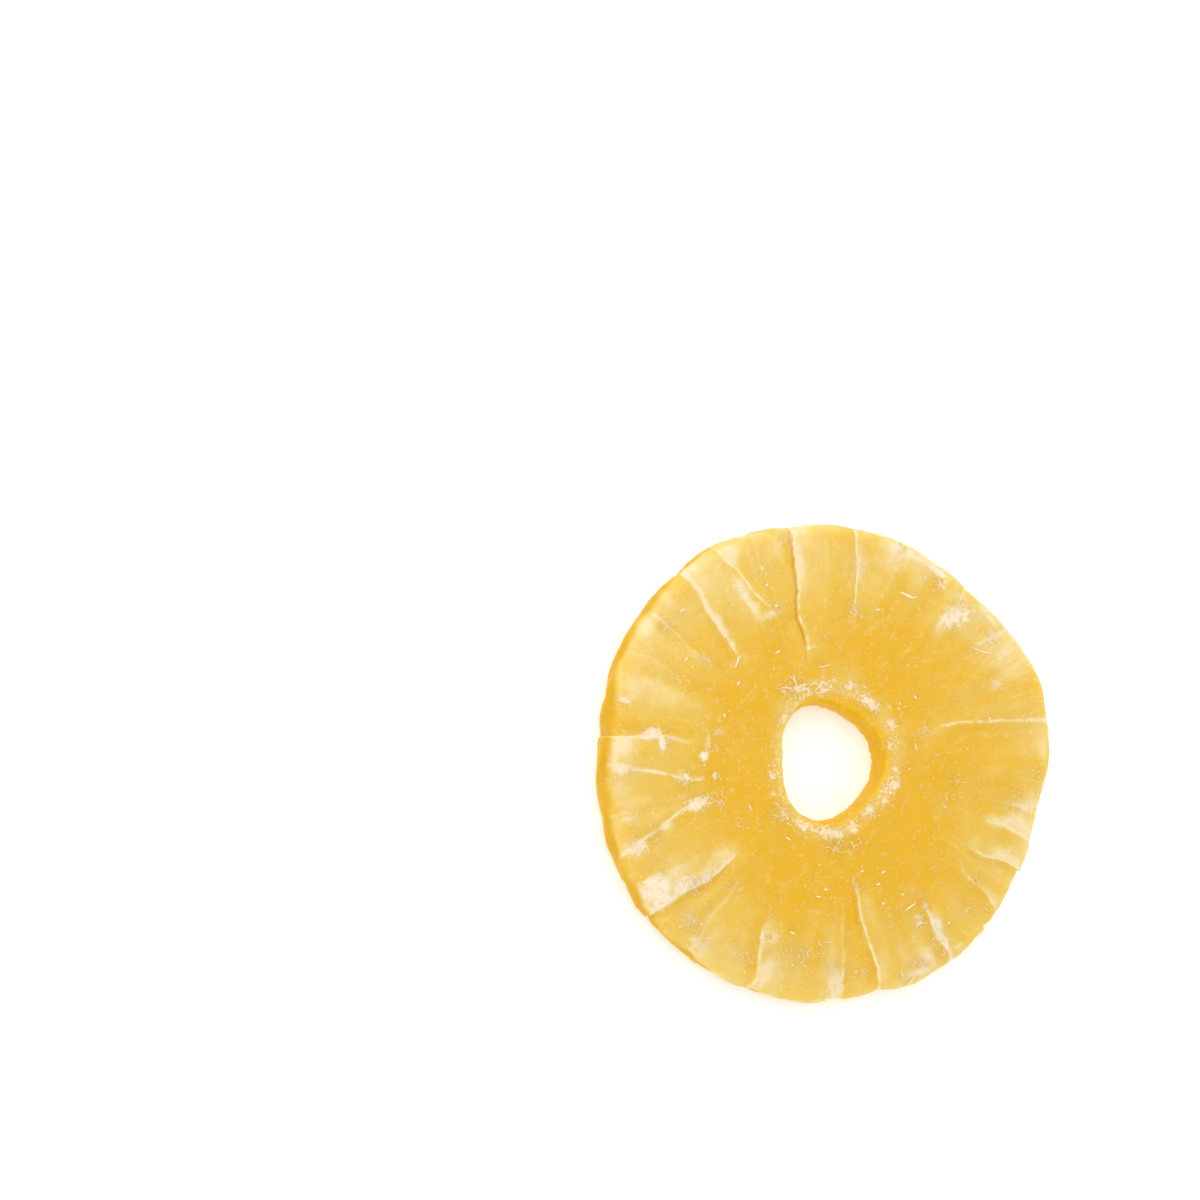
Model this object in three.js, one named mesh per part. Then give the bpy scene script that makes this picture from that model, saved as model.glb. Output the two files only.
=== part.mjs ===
import * as THREE from 'three';

// A dried, candied pineapple ring: one slice cut across the fruit, with the tough core punched out.
// Lengths are in millimetres and angles in degrees, with +Z up. The ring lies flat on its cut face.
// The origin is on the surface that it lies on, under the middle of its box.
//
// The slice is one piece. Its flesh grew as wedges that point at the core, and in drying the
// wedges parted along clefts, so the solid is worked out cleft by cleft, on a grid of lines
// that run out from the hole to the rim, over the edge, back under the slice and up the hole.

// --- Driving dimensions ---

const FACE_HEIGHT = 7.3; // thickness of the slice round its middle
const RIM_FALL = 1.1; // how much thinner it has dried at the rim
const FALL_START = 24; // the distance from the middle where it starts to thin
const FALL_POWER = 1.5; // more makes it thin later and faster
const MOUTH_FALL = 0.35; // how much the face sinks at the mouth of the hole
const MOUTH_REACH = 4; // how far from the hole it sinks

const WAIST_HEIGHT = 2.9; // height of the rim's widest line
const SHOULDER_DEPTH = 2.6; // how far in from the rim the rounding over the waist begins
const FOOT_DEPTH = 1.9; // the same for the rounding under the waist
const EDGE_POWER = 2.2; // 2 rounds the rim as an ellipse does, and more is squarer

const HOLE_RADIUS = 9; // the punched hole at its narrowest
const HOLE_WAVES = [ // the hole has shrunk unevenly: it is wider where a wave is at its height
  { crests: 1, size: 0.3, at: 249 },
  { crests: 2, size: 0.35, at: 93 },
  { crests: 3, size: 0.58, at: 4 },
];
const MOUTH_ROUND = 1.1; // width of the worn edge at each end of the hole
const MOUTH_SWING = 0.7; // how much wider that edge is at its two widest places
const MOUTH_WIDEST = 75; // the direction of one of them; the other is opposite

// Each cleft is a split between two wedges that starts somewhere in the flesh and reaches the rim.
//   at     its direction where it meets the rim, and
//   rim    how far the rim is from the middle there;
//   inner  how far from the middle it starts, and
//   lean   how much further round it lies there than at the rim;
//   lift   how far its standing edge rises above the face, and
//   reach  how far back that edge slopes away;
//   gap    how deep the split is at the foot of the edge;
//   side   1 where the wedge after it has the standing edge, -1 where the wedge before it has;
//   step   how far the rim of the wedge after it stands out.
const cleft = (size) => ({
  inner: 33, lean: 0, lift: 0.15, reach: 3, gap: 0.1, side: 1, step: 0, ...size,
});
const CLEFTS = [
  cleft({ at: 10.8, rim: 40.1, inner: 17, lean: 6, lift: 0.3, gap: 0.2 }),
  cleft({ at: 23.8, rim: 40.5, inner: 30, reach: 5 }),
  cleft({ at: 35.8, rim: 39.3, inner: 30, lean: 1.2, lift: 0.3, gap: 0.2, side: -1 }),
  cleft({ at: 50, rim: 38.4, inner: 26, lift: 0.45, gap: 0.3, side: -1 }),
  cleft({ at: 60, rim: 38.9, lean: -4, lift: 0.25 }),
  cleft({ at: 69, rim: 39.1, inner: 21, lean: 4, lift: 0.2 }),
  cleft({ at: 82.7, rim: 39.2, inner: 21, lean: -2.7, lift: 0.45, gap: 0.6, side: -1 }),
  cleft({ at: 99.6, rim: 39, inner: 16, lean: 4.7, lift: 0.5, gap: 0.8, side: -1 }),
  cleft({ at: 110.4, rim: 39.4, inner: 23, lean: 0.8, lift: 0.2, gap: 0.35, side: -1 }),
  cleft({ at: 119.3, rim: 39.8, inner: 23, lean: -6, lift: 0.55, side: -1 }),
  cleft({ at: 129.5, rim: 39.2, inner: 21, lean: 4.7, lift: 0.5, gap: 0.4, side: -1 }),
  cleft({ at: 142.1, rim: 39, inner: 24, lean: 1.2, lift: 0.3, gap: 0.15 }),
  cleft({ at: 153, rim: 38.9, inner: 26, reach: 4 }),
  cleft({ at: 165.2, rim: 38.4, lift: 0.3, gap: 0.2, side: -1 }),
  cleft({ at: 175.2, rim: 37.8, inner: 21, lean: -3, lift: 0.6, gap: 0.5, step: 0.5 }),
  cleft({ at: 182, rim: 38.3, inner: 19, lean: 8, lift: 0.4, gap: 0.25 }),
  cleft({ at: 194.7, rim: 38.8, lift: 0.2 }),
  cleft({ at: 204.2, rim: 39.2, inner: 19, lean: -8, lift: 0.5, gap: 0.45, side: -1 }),
  cleft({ at: 211.7, rim: 39.4, inner: 26, lean: 3.2, lift: 0.25, reach: 5 }),
  cleft({ at: 220.2, rim: 39.8, inner: 21, lean: 4, lift: 1, reach: 4.5, gap: 0.5, side: -1, step: -0.4 }),
  cleft({ at: 232.2, rim: 39.4, inner: 25, lean: -2, lift: 0.2 }),
  cleft({ at: 249.5, rim: 39.3, inner: 27, lean: -3.5, lift: 0.55, reach: 4, gap: 0.25 }),
  cleft({ at: 259, rim: 39.4 }),
  cleft({ at: 268.8, rim: 39.4, lift: 0.1, step: -0.6 }),
  cleft({ at: 272.6, rim: 38.9, inner: 22, lean: 1.5, lift: 0.4, gap: 0.4, side: -1 }),
  cleft({ at: 282.6, rim: 38.5, inner: 18, lean: -3.5, lift: 0.6, gap: 0.35 }),
  cleft({ at: 293.5, rim: 39.3, lean: -2, lift: 0.25 }),
  cleft({ at: 302.5, rim: 38.9, inner: 26, lift: 0.65, gap: 0.35 }),
  cleft({ at: 314.3, rim: 38.9, step: -0.6 }),
  cleft({ at: 320, rim: 38.4, inner: 23, lean: 3, lift: 0.4, gap: 0.25 }),
  cleft({ at: 331.9, rim: 37.8, inner: 26, lean: -3.3, lift: 0.5, reach: 4, gap: 0.25, step: 0.5 }),
  cleft({ at: 339.7, rim: 38.1, inner: 27, lean: 1.1, lift: 0.45, reach: 4, gap: 0.2 }),
  cleft({ at: 348.7, rim: 37.6, inner: 30, lean: -2.2, lift: 0.3, gap: 0.15 }),
];
const CLEFT_RUN_IN = 5; // how far a cleft takes to reach its full height and depth
const WANDER = { turn: 0.6, length: 10.5 }; // clefts waver to each side, by so much and so often
const WANDER_APART = 47; // from one cleft to the next, degrees along the wavering
const GAP_WIDTH = 0.55; // how far from the foot of a standing edge the split closes
const STEP_REACH = 3; // how far round a step in the rim dies away
const NOTCH_DEPTH = 0.45; // how far a cleft of full height cuts into the rim
const NOTCH_WIDTH = 0.9;
const WIDE_WEDGE = 10; // degrees between the clefts at the sides of a wide wedge
const WEDGE_BOW = 0.15; // how far such a wedge bows out at the rim
const WEDGE_CROWN = 0.22; // how far it swells above the face
const CROWN_START = 16; // the distance from the middle where it starts to swell, and
const CROWN_FULL = 30; // where it has swollen fully
const CROWN_SWING = 0.6; // the share by which some wedges swell more than others, and
const CROWN_APART = 137.5; // degrees along that swing from one wedge to the next
const UNDER_SHARE = 0.7; // how deep the clefts are under the slice, against those on its face
const UNDER_HOLLOW = 0.2; // how far the waves under the slice lie below zero, where it is flat

// Waves that the drying left in the face: the size of each, its length and its direction.
const FACE_WAVES = [
  { size: 0.16, length: 27, towards: 35, start: 0.6 },
  { size: 0.13, length: 19, towards: 118, start: 2.1 },
  { size: 0.09, length: 13, towards: 74, start: 4.4 },
  { size: 0.06, length: 9, towards: 160, start: 1.3 },
];

// Ripples in the rim's wall: so many round it, each leaning by so many degrees in a millimetre.
const RIPPLE = { size: 0.14, times: 23, twist: 66 };

// How finely the solid is divided. The lines beside a cleft lie on its edge and in its split.
const BESIDE_A_DEEP_CLEFT = [-1.7, -0.5, 0.05, 1.2, 3]; // from its edge, towards its standing side
const BESIDE_A_SHALLOW_CLEFT = [-0.7, 0.05, 1.8];
const DEEP_CLEFT = 0.3; // the lift that makes a cleft a deep one
const WIDEST_SPACE = 3.4; // between two lines, in degrees
const CLOSEST_LINES = 0.45;
const FACE_STEPS = 13;
const SHOULDER_STEPS = 4;
const FOOT_STEPS = 3;
const UNDER_STEPS = 5;
const HOLE_STEPS = 5;

const FLESH = new THREE.MeshStandardMaterial({ color: 0xf0c052, roughness: 0.5, metalness: 0 });

// --- Helpers ---

const FULL_TURN = 360;
const { degToRad, lerp, smoothstep, euclideanModulo } = THREE.MathUtils;
const cosine = (angle) => Math.cos(degToRad(angle));
const sine = (angle) => Math.sin(degToRad(angle));

// The shortest way round from one direction to another, from -180 to 180.
function turnBetween(from, to) {
  return euclideanModulo(to - from + FULL_TURN / 2, FULL_TURN) - FULL_TURN / 2;
}

// A length along the rim as an angle.
function arcAngle(length, radius) {
  return THREE.MathUtils.radToDeg(length / radius);
}

// The wedge that a direction lies in: the clefts at its two sides, its width, and how far across.
function wedgeAt(angle) {
  const after = CLEFTS.findIndex((split) => split.at > angle);
  const next = CLEFTS[Math.max(after, 0)];
  const before = CLEFTS[euclideanModulo(Math.max(after, 0) - 1, CLEFTS.length)];
  const width = euclideanModulo(next.at - before.at, FULL_TURN);
  const across = euclideanModulo(angle - before.at, FULL_TURN) / width;
  return { before, next, width, across };
}

// --- The outline of the slice and of its hole ---

function rimRadius(angle) {
  const { before, next, width, across } = wedgeAt(angle);
  let radius = lerp(before.rim, next.rim, across);
  radius += WEDGE_BOW * (width / WIDE_WEDGE) * sine(180 * across);
  for (const split of CLEFTS) {
    const turn = turnBetween(split.at, angle);
    const away = degToRad(Math.abs(turn)) * split.rim;
    radius -= NOTCH_DEPTH * split.lift * Math.exp(-((away / NOTCH_WIDTH) ** 2));
    if (turn > 0) {
      radius += split.step * Math.exp(-turn / STEP_REACH);
    }
  }
  return radius;
}

function holeRadius(angle) {
  const waves = HOLE_WAVES.map((wave) => wave.size * cosine(wave.crests * (angle - wave.at)));
  return waves.reduce((sum, wave) => sum + wave, HOLE_RADIUS);
}

function mouthRound(angle) {
  return MOUTH_ROUND + MOUTH_SWING * cosine(2 * (angle - MOUTH_WIDEST));
}

// --- The faces of the slice ---

// How much further round a cleft's line lies, at a distance from the middle, than at the rim.
function leanOf(split, radius) {
  const outward = 1 - smoothstep(radius, split.inner, split.rim);
  const inward = smoothstep(radius, HOLE_RADIUS, split.inner);
  const along = FULL_TURN * (radius / WANDER.length) + WANDER_APART * CLEFTS.indexOf(split);
  return (split.lean + WANDER.turn * sine(along)) * outward * inward;
}

// The direction of a point of a line: between two clefts, the lines lean as those two do.
function leaning(line, radius) {
  const { before, next, across } = wedgeAt(line);
  return line + lerp(leanOf(before, radius), leanOf(next, radius), across);
}

// Height of the standing edges, less the depth of the splits, at a point of a line.
function cleftRelief(line, radius) {
  let relief = 0;
  for (const split of CLEFTS) {
    const strength = smoothstep(radius, split.inner, split.inner + CLEFT_RUN_IN);
    const from = degToRad(turnBetween(split.at, line)) * radius * split.side;
    const edge = split.lift * Math.exp(-from / split.reach);
    const opening = -split.gap * Math.exp((from + GAP_WIDTH / 2) / GAP_WIDTH);
    relief += strength * (from > 0 ? edge : Math.max(opening, -split.gap));
  }
  return relief;
}

function waves(x, y) {
  const heights = FACE_WAVES.map(({ size, length, towards, start }) => {
    const along = x * cosine(towards) + y * sine(towards);
    return size * Math.sin((2 * Math.PI * along) / length + start);
  });
  return heights.reduce((sum, height) => sum + height, 0);
}

function faceHeight(line, radius, angle) {
  const { before, width, across } = wedgeAt(line);
  const fall = RIM_FALL * smoothstep(radius, FALL_START, rimRadius(line)) ** FALL_POWER;
  const sinking = MOUTH_FALL * (1 - smoothstep(radius, HOLE_RADIUS, HOLE_RADIUS + MOUTH_REACH));
  const share = 1 + CROWN_SWING * sine(CROWN_APART * CLEFTS.indexOf(before));
  const swelling = WEDGE_CROWN * share * smoothstep(radius, CROWN_START, CROWN_FULL);
  const crown = swelling * (width / WIDE_WEDGE) * sine(180 * across) ** 2;
  const wave = waves(radius * cosine(angle), radius * sine(angle));
  return FACE_HEIGHT - fall - sinking + crown + wave + cleftRelief(line, radius);
}

// How far the rim's wall stands out at a height.
function ripple(line, height) {
  return RIPPLE.size * sine(RIPPLE.times * line + RIPPLE.twist * height);
}

// Under the slice only the hollows show, because the rest has settled flat.
function underHeight(line, radius, angle) {
  const wave = waves(radius * cosine(angle + 90), radius * sine(angle + 90));
  return Math.max(0, wave - UNDER_HOLLOW) + Math.max(0, -cleftRelief(line, radius)) * UNDER_SHARE;
}

// --- The grid of points ---

// One line of the grid as a closed loop of points, seen by its distance from the middle and height.
function lineAround(line) {
  const rim = rimRadius(line);
  const hole = holeRadius(line);
  const mouth = mouthRound(line);
  const points = [];
  const put = (radius, heightAt) => {
    const angle = leaning(line, radius);
    const height = typeof heightAt === 'number' ? heightAt : heightAt(line, radius, angle);
    points.push(new THREE.Vector3(radius * cosine(angle), radius * sine(angle), height));
    return height;
  };

  // The face, from the mouth of the hole to the shoulder of the rim.
  for (let step = 0; step < FACE_STEPS; step += 1) {
    put(lerp(hole + mouth, rim - SHOULDER_DEPTH, step / FACE_STEPS), faceHeight);
  }

  // Over the shoulder to the waist.
  const shoulder = put(rim - SHOULDER_DEPTH, faceHeight);
  const power = 2 / EDGE_POWER;
  for (let step = 1; step < SHOULDER_STEPS; step += 1) {
    const turn = (90 * step) / SHOULDER_STEPS;
    const height = lerp(WAIST_HEIGHT, shoulder, cosine(turn) ** power);
    put(rim - SHOULDER_DEPTH * (1 - sine(turn) ** power) + ripple(line, height) * sine(turn), height);
  }

  // The waist, and under it to the foot.
  const foot = underHeight(line, rim - FOOT_DEPTH, leaning(line, rim - FOOT_DEPTH));
  for (let step = 0; step < FOOT_STEPS; step += 1) {
    const turn = (90 * step) / FOOT_STEPS;
    const height = lerp(WAIST_HEIGHT, foot, sine(turn) ** power);
    put(rim - FOOT_DEPTH * (1 - cosine(turn) ** power) + ripple(line, height) * cosine(turn), height);
  }

  // Back under the slice.
  for (let step = 0; step < UNDER_STEPS; step += 1) {
    put(lerp(rim - FOOT_DEPTH, hole + mouth, step / UNDER_STEPS), underHeight);
  }

  // Up the hole: half an ellipse that bulges into it.
  const low = underHeight(line, hole + mouth, leaning(line, hole + mouth));
  const high = faceHeight(line, hole + mouth, leaning(line, hole + mouth));
  for (let step = 0; step < HOLE_STEPS; step += 1) {
    const turn = (180 * step) / HOLE_STEPS;
    put(hole + mouth * (1 - Math.sqrt(sine(turn))), lerp(low, high, (1 - cosine(turn)) / 2));
  }
  return points;
}

// The directions of the grid's lines: some beside each cleft, and the spaces left filled evenly.
function gridLines() {
  const wanted = CLEFTS.flatMap((split) => {
    const places = split.lift >= DEEP_CLEFT ? BESIDE_A_DEEP_CLEFT : BESIDE_A_SHALLOW_CLEFT;
    return places.map((place) => split.at + arcAngle(place * split.side, split.rim));
  });
  const sorted = wanted.map((line) => euclideanModulo(line, FULL_TURN)).sort((a, b) => a - b);
  const kept = sorted.filter((line, index) => index === 0 || line - sorted[index - 1] > CLOSEST_LINES);
  const lines = [];
  kept.forEach((line, index) => {
    const space = euclideanModulo(kept[(index + 1) % kept.length] - line, FULL_TURN);
    const parts = Math.ceil(space / WIDEST_SPACE);
    for (let part = 0; part < parts; part += 1) {
      lines.push(euclideanModulo(line + (space * part) / parts, FULL_TURN));
    }
  });
  return lines;
}

// The closed surface: every line joined to the next, and the last to the first.
function ringGeometry() {
  const loops = gridLines().map(lineAround);
  const around = loops[0].length;
  const faces = [];
  loops.forEach((loop, index) => {
    const next = (index + 1) % loops.length;
    for (let step = 0; step < around; step += 1) {
      const after = (step + 1) % around;
      const here = index * around + step;
      const ahead = index * around + after;
      const beside = next * around + step;
      const beyond = next * around + after;
      faces.push(here, ahead, beyond, here, beyond, beside);
    }
  });
  const geometry = new THREE.BufferGeometry().setFromPoints(loops.flat());
  geometry.setIndex(faces);
  geometry.computeBoundingBox();
  const middle = geometry.boundingBox.getCenter(new THREE.Vector3());
  geometry.translate(-middle.x, -middle.y, 0);
  geometry.computeVertexNormals();
  return geometry;
}

const ring = new THREE.Mesh(ringGeometry(), FLESH);
ring.name = 'pineapple_ring';

const part = new THREE.Group();
part.add(ring);

export default part;
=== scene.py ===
# %% [markdown]
# # A dried pineapple ring
# The real thing is one slice of pineapple. It was cut across the fruit, its core was punched out,
# and it was soaked in syrup and dried, so its flesh is now clear, gold and chewy.
# This lesson builds its surface as one fine mesh worked out by formulas, gives it a material that
# knows where the flesh is milky or frosted, and scatters sugar crumbs and loose fibres on it.

# %% Load the frame
import itertools
import math

import bpy
import numpy as np
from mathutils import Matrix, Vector, noise
from mathutils.bvhtree import BVHTree


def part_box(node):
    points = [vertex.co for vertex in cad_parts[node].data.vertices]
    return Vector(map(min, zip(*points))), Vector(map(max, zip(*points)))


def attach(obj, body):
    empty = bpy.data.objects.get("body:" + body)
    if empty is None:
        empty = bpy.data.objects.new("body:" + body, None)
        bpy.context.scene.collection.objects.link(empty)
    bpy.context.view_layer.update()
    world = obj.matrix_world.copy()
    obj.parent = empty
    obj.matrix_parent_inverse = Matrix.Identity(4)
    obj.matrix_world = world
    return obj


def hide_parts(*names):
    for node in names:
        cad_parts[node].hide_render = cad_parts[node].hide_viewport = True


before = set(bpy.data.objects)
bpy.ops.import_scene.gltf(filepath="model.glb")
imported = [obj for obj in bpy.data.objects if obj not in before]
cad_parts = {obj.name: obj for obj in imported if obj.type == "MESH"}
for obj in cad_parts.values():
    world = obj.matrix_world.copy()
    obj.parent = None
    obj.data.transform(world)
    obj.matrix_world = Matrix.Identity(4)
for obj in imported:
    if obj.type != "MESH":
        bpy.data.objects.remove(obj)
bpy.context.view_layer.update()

MM = 0.001  # Blender works in metres here, and the slice is easier to think of in millimetres
NODE = "pineapple_ring"
BODY = "root"
BOX_LOW = np.array(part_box(NODE)[0]) / MM
BOX_HIGH = np.array(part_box(NODE)[1]) / MM
print("the slice fills, in mm:", (BOX_HIGH - BOX_LOW).round(2))

# %% [markdown]
# ## The sizes of the slice
# A slice like this has a few plain sizes: how thick it is, how its rim is rounded and how the
# punched hole has shrunk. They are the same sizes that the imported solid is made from, so the fine
# mesh that shows here has the same form. Sculpting by hand would look as good, but it would drift
# away from the solid, and nobody could read it.

# %% Plain sizes, in millimetres and degrees
FACE_HEIGHT = 7.3  # thickness of the slice round its middle
RIM_FALL = 1.1  # how much thinner it has dried at the rim
FALL_START = 24  # the distance from the middle where it starts to thin
FALL_POWER = 1.5  # above 1, the fall is steepest near the rim
MOUTH_FALL = 0.35  # how much the face sinks at the mouth of the hole
MOUTH_REACH = 4  # and how far out from the hole it does

WAIST_HEIGHT = 2.9  # height of the rim's widest line
SHOULDER_DEPTH = 2.6  # how far in from the rim the rounding over the waist begins
FOOT_DEPTH = 1.9  # the same for the rounding under the waist
EDGE_POWER = 2.2  # 2 rounds the rim as an ellipse does, and more is squarer

HOLE_RADIUS = 9
HOLE_WAVES = [(1, 0.3, 249), (2, 0.35, 93), (3, 0.58, 4)]  # crests, size, where the first one is
MOUTH_ROUND = 1.1  # width of the worn edge at each end of the hole
MOUTH_SWING = 0.7  # how much that width differs round the hole
MOUTH_WIDEST = 75  # the direction where it is widest, and again on the other side

FACE_WAVES = [  # waves that the drying left: size, length, direction, start
    (0.16, 27, 35, 0.6),
    (0.13, 19, 118, 2.1),
    (0.09, 13, 74, 4.4),
    (0.06, 9, 160, 1.3),
]
RIPPLE_SIZE = 0.14  # ripples in the wall of the rim
RIPPLE_TIMES = 23  # how many there are round the rim
RIPPLE_TWIST = 66  # degrees that each leans for a millimetre of height
UNDER_SHARE = 0.7  # how deep the clefts are under the slice, against those on its face
UNDER_HOLLOW = 0.2  # waves of the underside hollow it only where they are higher than this
print("the slice is", FACE_HEIGHT, "mm thick, with a hole of about", 2 * HOLE_RADIUS, "mm")

# %% [markdown]
# ## The clefts
# Pineapple flesh grows as wedges that point at the core. As it dries, the wedges part along
# clefts, and one side of each cleft stands up as a pale, dry lip. These lines are what make the
# slice look like pineapple and not like a plain gold disc, so each one is described by its sizes.
# A noise texture couldn't put them where they belong.

# %% One row for each cleft
def cleft(at, rim, inner=33, lean=0, lift=0.15, reach=3, gap=0.1, side=1, step=0, dry=0.1):
    """at: its direction at the rim. rim: how far the rim is there. inner: how far from the middle
    it starts. lean: how much further round it lies there. lift: how far its lip stands up, and
    reach: how far back the lip slopes. gap: how deep the split is. side: 1 if the wedge after it
    has the lip, else -1. step: how far the rim of the wedge after it stands out. dry: how pale
    its lip has dried."""
    return at, rim, inner, lean, lift, reach, gap, side, step, dry


CLEFTS = np.array([
    cleft(10.8, 40.1, inner=17, lean=6, lift=0.3, gap=0.2, dry=0.75),
    cleft(23.8, 40.5, inner=30, reach=5, dry=0),
    cleft(35.8, 39.3, inner=30, lean=1.2, lift=0.3, gap=0.2, side=-1, dry=0.4),
    cleft(50, 38.4, inner=26, lift=0.45, gap=0.3, side=-1, dry=0.2),
    cleft(60, 38.9, lean=-4, lift=0.25),
    cleft(69, 39.1, inner=21, lean=4, lift=0.2, dry=0.1),
    cleft(82.7, 39.2, inner=21, lean=-2.7, lift=0.45, gap=0.6, side=-1, dry=0.6),
    cleft(99.6, 39, inner=16, lean=4.7, lift=0.5, gap=0.8, side=-1, dry=0.65),
    cleft(110.4, 39.4, inner=23, lean=0.8, lift=0.2, gap=0.35, side=-1, dry=0.05),
    cleft(119.3, 39.8, inner=23, lean=-6, lift=0.55, side=-1, dry=0.5),
    cleft(129.5, 39.2, inner=21, lean=4.7, lift=0.5, gap=0.4, side=-1, dry=1),
    cleft(142.1, 39, inner=24, lean=1.2, lift=0.3, gap=0.15, dry=0.3),
    cleft(153, 38.9, inner=26, reach=4),
    cleft(165.2, 38.4, lift=0.3, gap=0.2, side=-1, dry=0.15),
    cleft(175.2, 37.8, inner=21, lean=-3, lift=0.6, gap=0.5, step=0.5, dry=0.4),
    cleft(182, 38.3, inner=19, lean=8, lift=0.4, gap=0.25, dry=0.8),
    cleft(194.7, 38.8, lift=0.2, dry=0.4),
    cleft(204.2, 39.2, inner=19, lean=-8, lift=0.5, gap=0.45, side=-1, dry=0.9),
    cleft(211.7, 39.4, inner=26, lean=3.2, lift=0.25, reach=5),
    cleft(220.2, 39.8, inner=21, lean=4, lift=1, reach=4.5, gap=0.5, side=-1, step=-0.4, dry=1),
    cleft(232.2, 39.4, inner=25, lean=-2, lift=0.2, dry=0.2),
    cleft(249.5, 39.3, inner=27, lean=-3.5, lift=0.55, reach=4, gap=0.25, dry=0.6),
    cleft(259, 39.4, dry=0),
    cleft(268.8, 39.4, lift=0.1, step=-0.6, dry=0.2),
    cleft(272.6, 38.9, inner=22, lean=1.5, lift=0.4, gap=0.4, side=-1, dry=0.35),
    cleft(282.6, 38.5, inner=18, lean=-3.5, lift=0.6, gap=0.35, dry=0.85),
    cleft(293.5, 39.3, lean=-2, lift=0.25),
    cleft(302.5, 38.9, inner=26, lift=0.65, gap=0.35, dry=0.9),
    cleft(314.3, 38.9, step=-0.6, dry=0),
    cleft(320, 38.4, inner=23, lean=3, lift=0.4, gap=0.25, dry=0.4),
    cleft(331.9, 37.8, inner=26, lean=-3.3, lift=0.5, reach=4, gap=0.25, step=0.5, dry=0.7),
    cleft(339.7, 38.1, inner=27, lean=1.1, lift=0.45, reach=4, gap=0.2, dry=0.5),
    cleft(348.7, 37.6, inner=30, lean=-2.2, lift=0.3, gap=0.15, dry=0.4),
])
AT, RIM, INNER, LEAN, LIFT, REACH, GAP, SIDE, STEP, DRY = CLEFTS.T
CLEFT_COUNT = len(CLEFTS)
CLEFT_RUN_IN = 5  # how far a cleft takes to reach its full height and depth
WANDER_TURN = 0.6  # clefts waver to each side by so many degrees,
WANDER_LENGTH = 10.5  # so many millimetres apart,
WANDER_APART = 47  # and each in its own rhythm
EDGE_WAVERS = [(0.4, 4.5), (0.15, 1.3)]  # the lips' own uneven waves: size and length
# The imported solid's clefts are cut deeper than here, so that they show on its plain coarse mesh.
# With this fine mesh and its shading they would look carved, and the real ones are soft.
FINE_LIFT = 0.6  # a lip's height against that of the solid's,
HIGHEST_LIP = 0.55  # before which no lip counts as higher than this
FINE_GAP = 0.35  # a split's depth against that of the solid's
GAP_WIDTH = 0.4
SOFT_WALL = 1.5  # width of the slope up to the lip of a closed cleft, and
SHARP_WALL = 0.3  # of one that gapes
CLOSED_GAP = 0.5  # a split is closed up to this depth,
GAPING = 0.8  # and gapes fully from this one
STEP_REACH = 3  # degrees over which a wedge that stands out at the rim joins its neighbour
NOTCH_DEPTH = 0.15  # how far a cleft cuts into the rim, for each millimetre of its lip
NOTCH_WIDTH = 0.9
WIDE_WEDGE = 10  # in degrees
WEDGE_BOW = 0.1  # how far a wedge as wide as that bows out at the rim
WEDGE_CROWN = 0.22  # and how far it swells above the face,
CROWN_START = 16  # from this distance from the middle,
CROWN_FULL = 30  # and fully from this one
CROWN_SWING = 0.6  # how unlike each other the wedges swell,
CROWN_APART = 137.5  # by a turn of so many degrees from each to the next
print(CLEFT_COUNT, "clefts, the deepest", GAP.max(), "mm, the highest lip", LIFT.max(), "mm")

# %% [markdown]
# ## The form, as formulas
# Each point of the surface is found from two numbers: the line that it is on, which is a
# direction at the rim, and its distance from the middle. numpy works out all the points at once.

# %% Helpers for angles and blends
FULL_TURN = 360


def lerp(start, end, share):
    return start + (end - start) * share


def smoothstep(value, low, high):
    share = np.clip((value - low) / (high - low), 0, 1)
    return share * share * (3 - 2 * share)


def cosine(angle):
    return np.cos(np.radians(angle))


def sine(angle):
    return np.sin(np.radians(angle))


def turn_between(start, end):
    """The shortest way round from one direction to another, from -180 to 180."""
    return (end - start + FULL_TURN / 2) % FULL_TURN - FULL_TURN / 2


print("the turn from 350 to 10 degrees is", turn_between(350, 10))


# %% Which wedge a direction is in
def wedge_at(line):
    """The clefts at the two sides of the wedge that a line is in, its width, and how far across."""
    after = np.searchsorted(AT, line, side="right")
    before = (after - 1) % CLEFT_COUNT
    after = after % CLEFT_COUNT
    width = (AT[after] - AT[before]) % FULL_TURN
    across = (line - AT[before]) % FULL_TURN / width
    return before, after, width, across


print("90 degrees lies in the wedge after cleft", int(wedge_at(90)[0]))


# %% The outline and the hole
def rim_radius(line):
    before, after, width, across = wedge_at(line)
    radius = lerp(RIM[before], RIM[after], across)
    radius = radius + WEDGE_BOW * (width / WIDE_WEDGE) * sine(180 * across)
    for at, rim, lift, step in zip(AT, RIM, LIFT, STEP):
        turn = turn_between(at, line)
        away = np.radians(np.abs(turn)) * rim
        radius = radius - NOTCH_DEPTH * lift * np.exp(-((away / NOTCH_WIDTH) ** 2))
        radius = radius + np.where(turn > 0, step * np.exp(-np.abs(turn) / STEP_REACH), 0)
    return radius


def hole_radius(line):
    return HOLE_RADIUS + sum(size * cosine(n * (line - at)) for n, size, at in HOLE_WAVES)


def mouth_round(line):
    return MOUTH_ROUND + MOUTH_SWING * cosine(2 * (line - MOUTH_WIDEST))


all_round = np.arange(FULL_TURN)
rim, hole = rim_radius(all_round), hole_radius(all_round)
print("the rim is", rim.min().round(1), "to", rim.max().round(1), "mm out")
print("the edge of the hole is", hole.min().round(1), "to", hole.max().round(1), "mm out")


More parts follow.
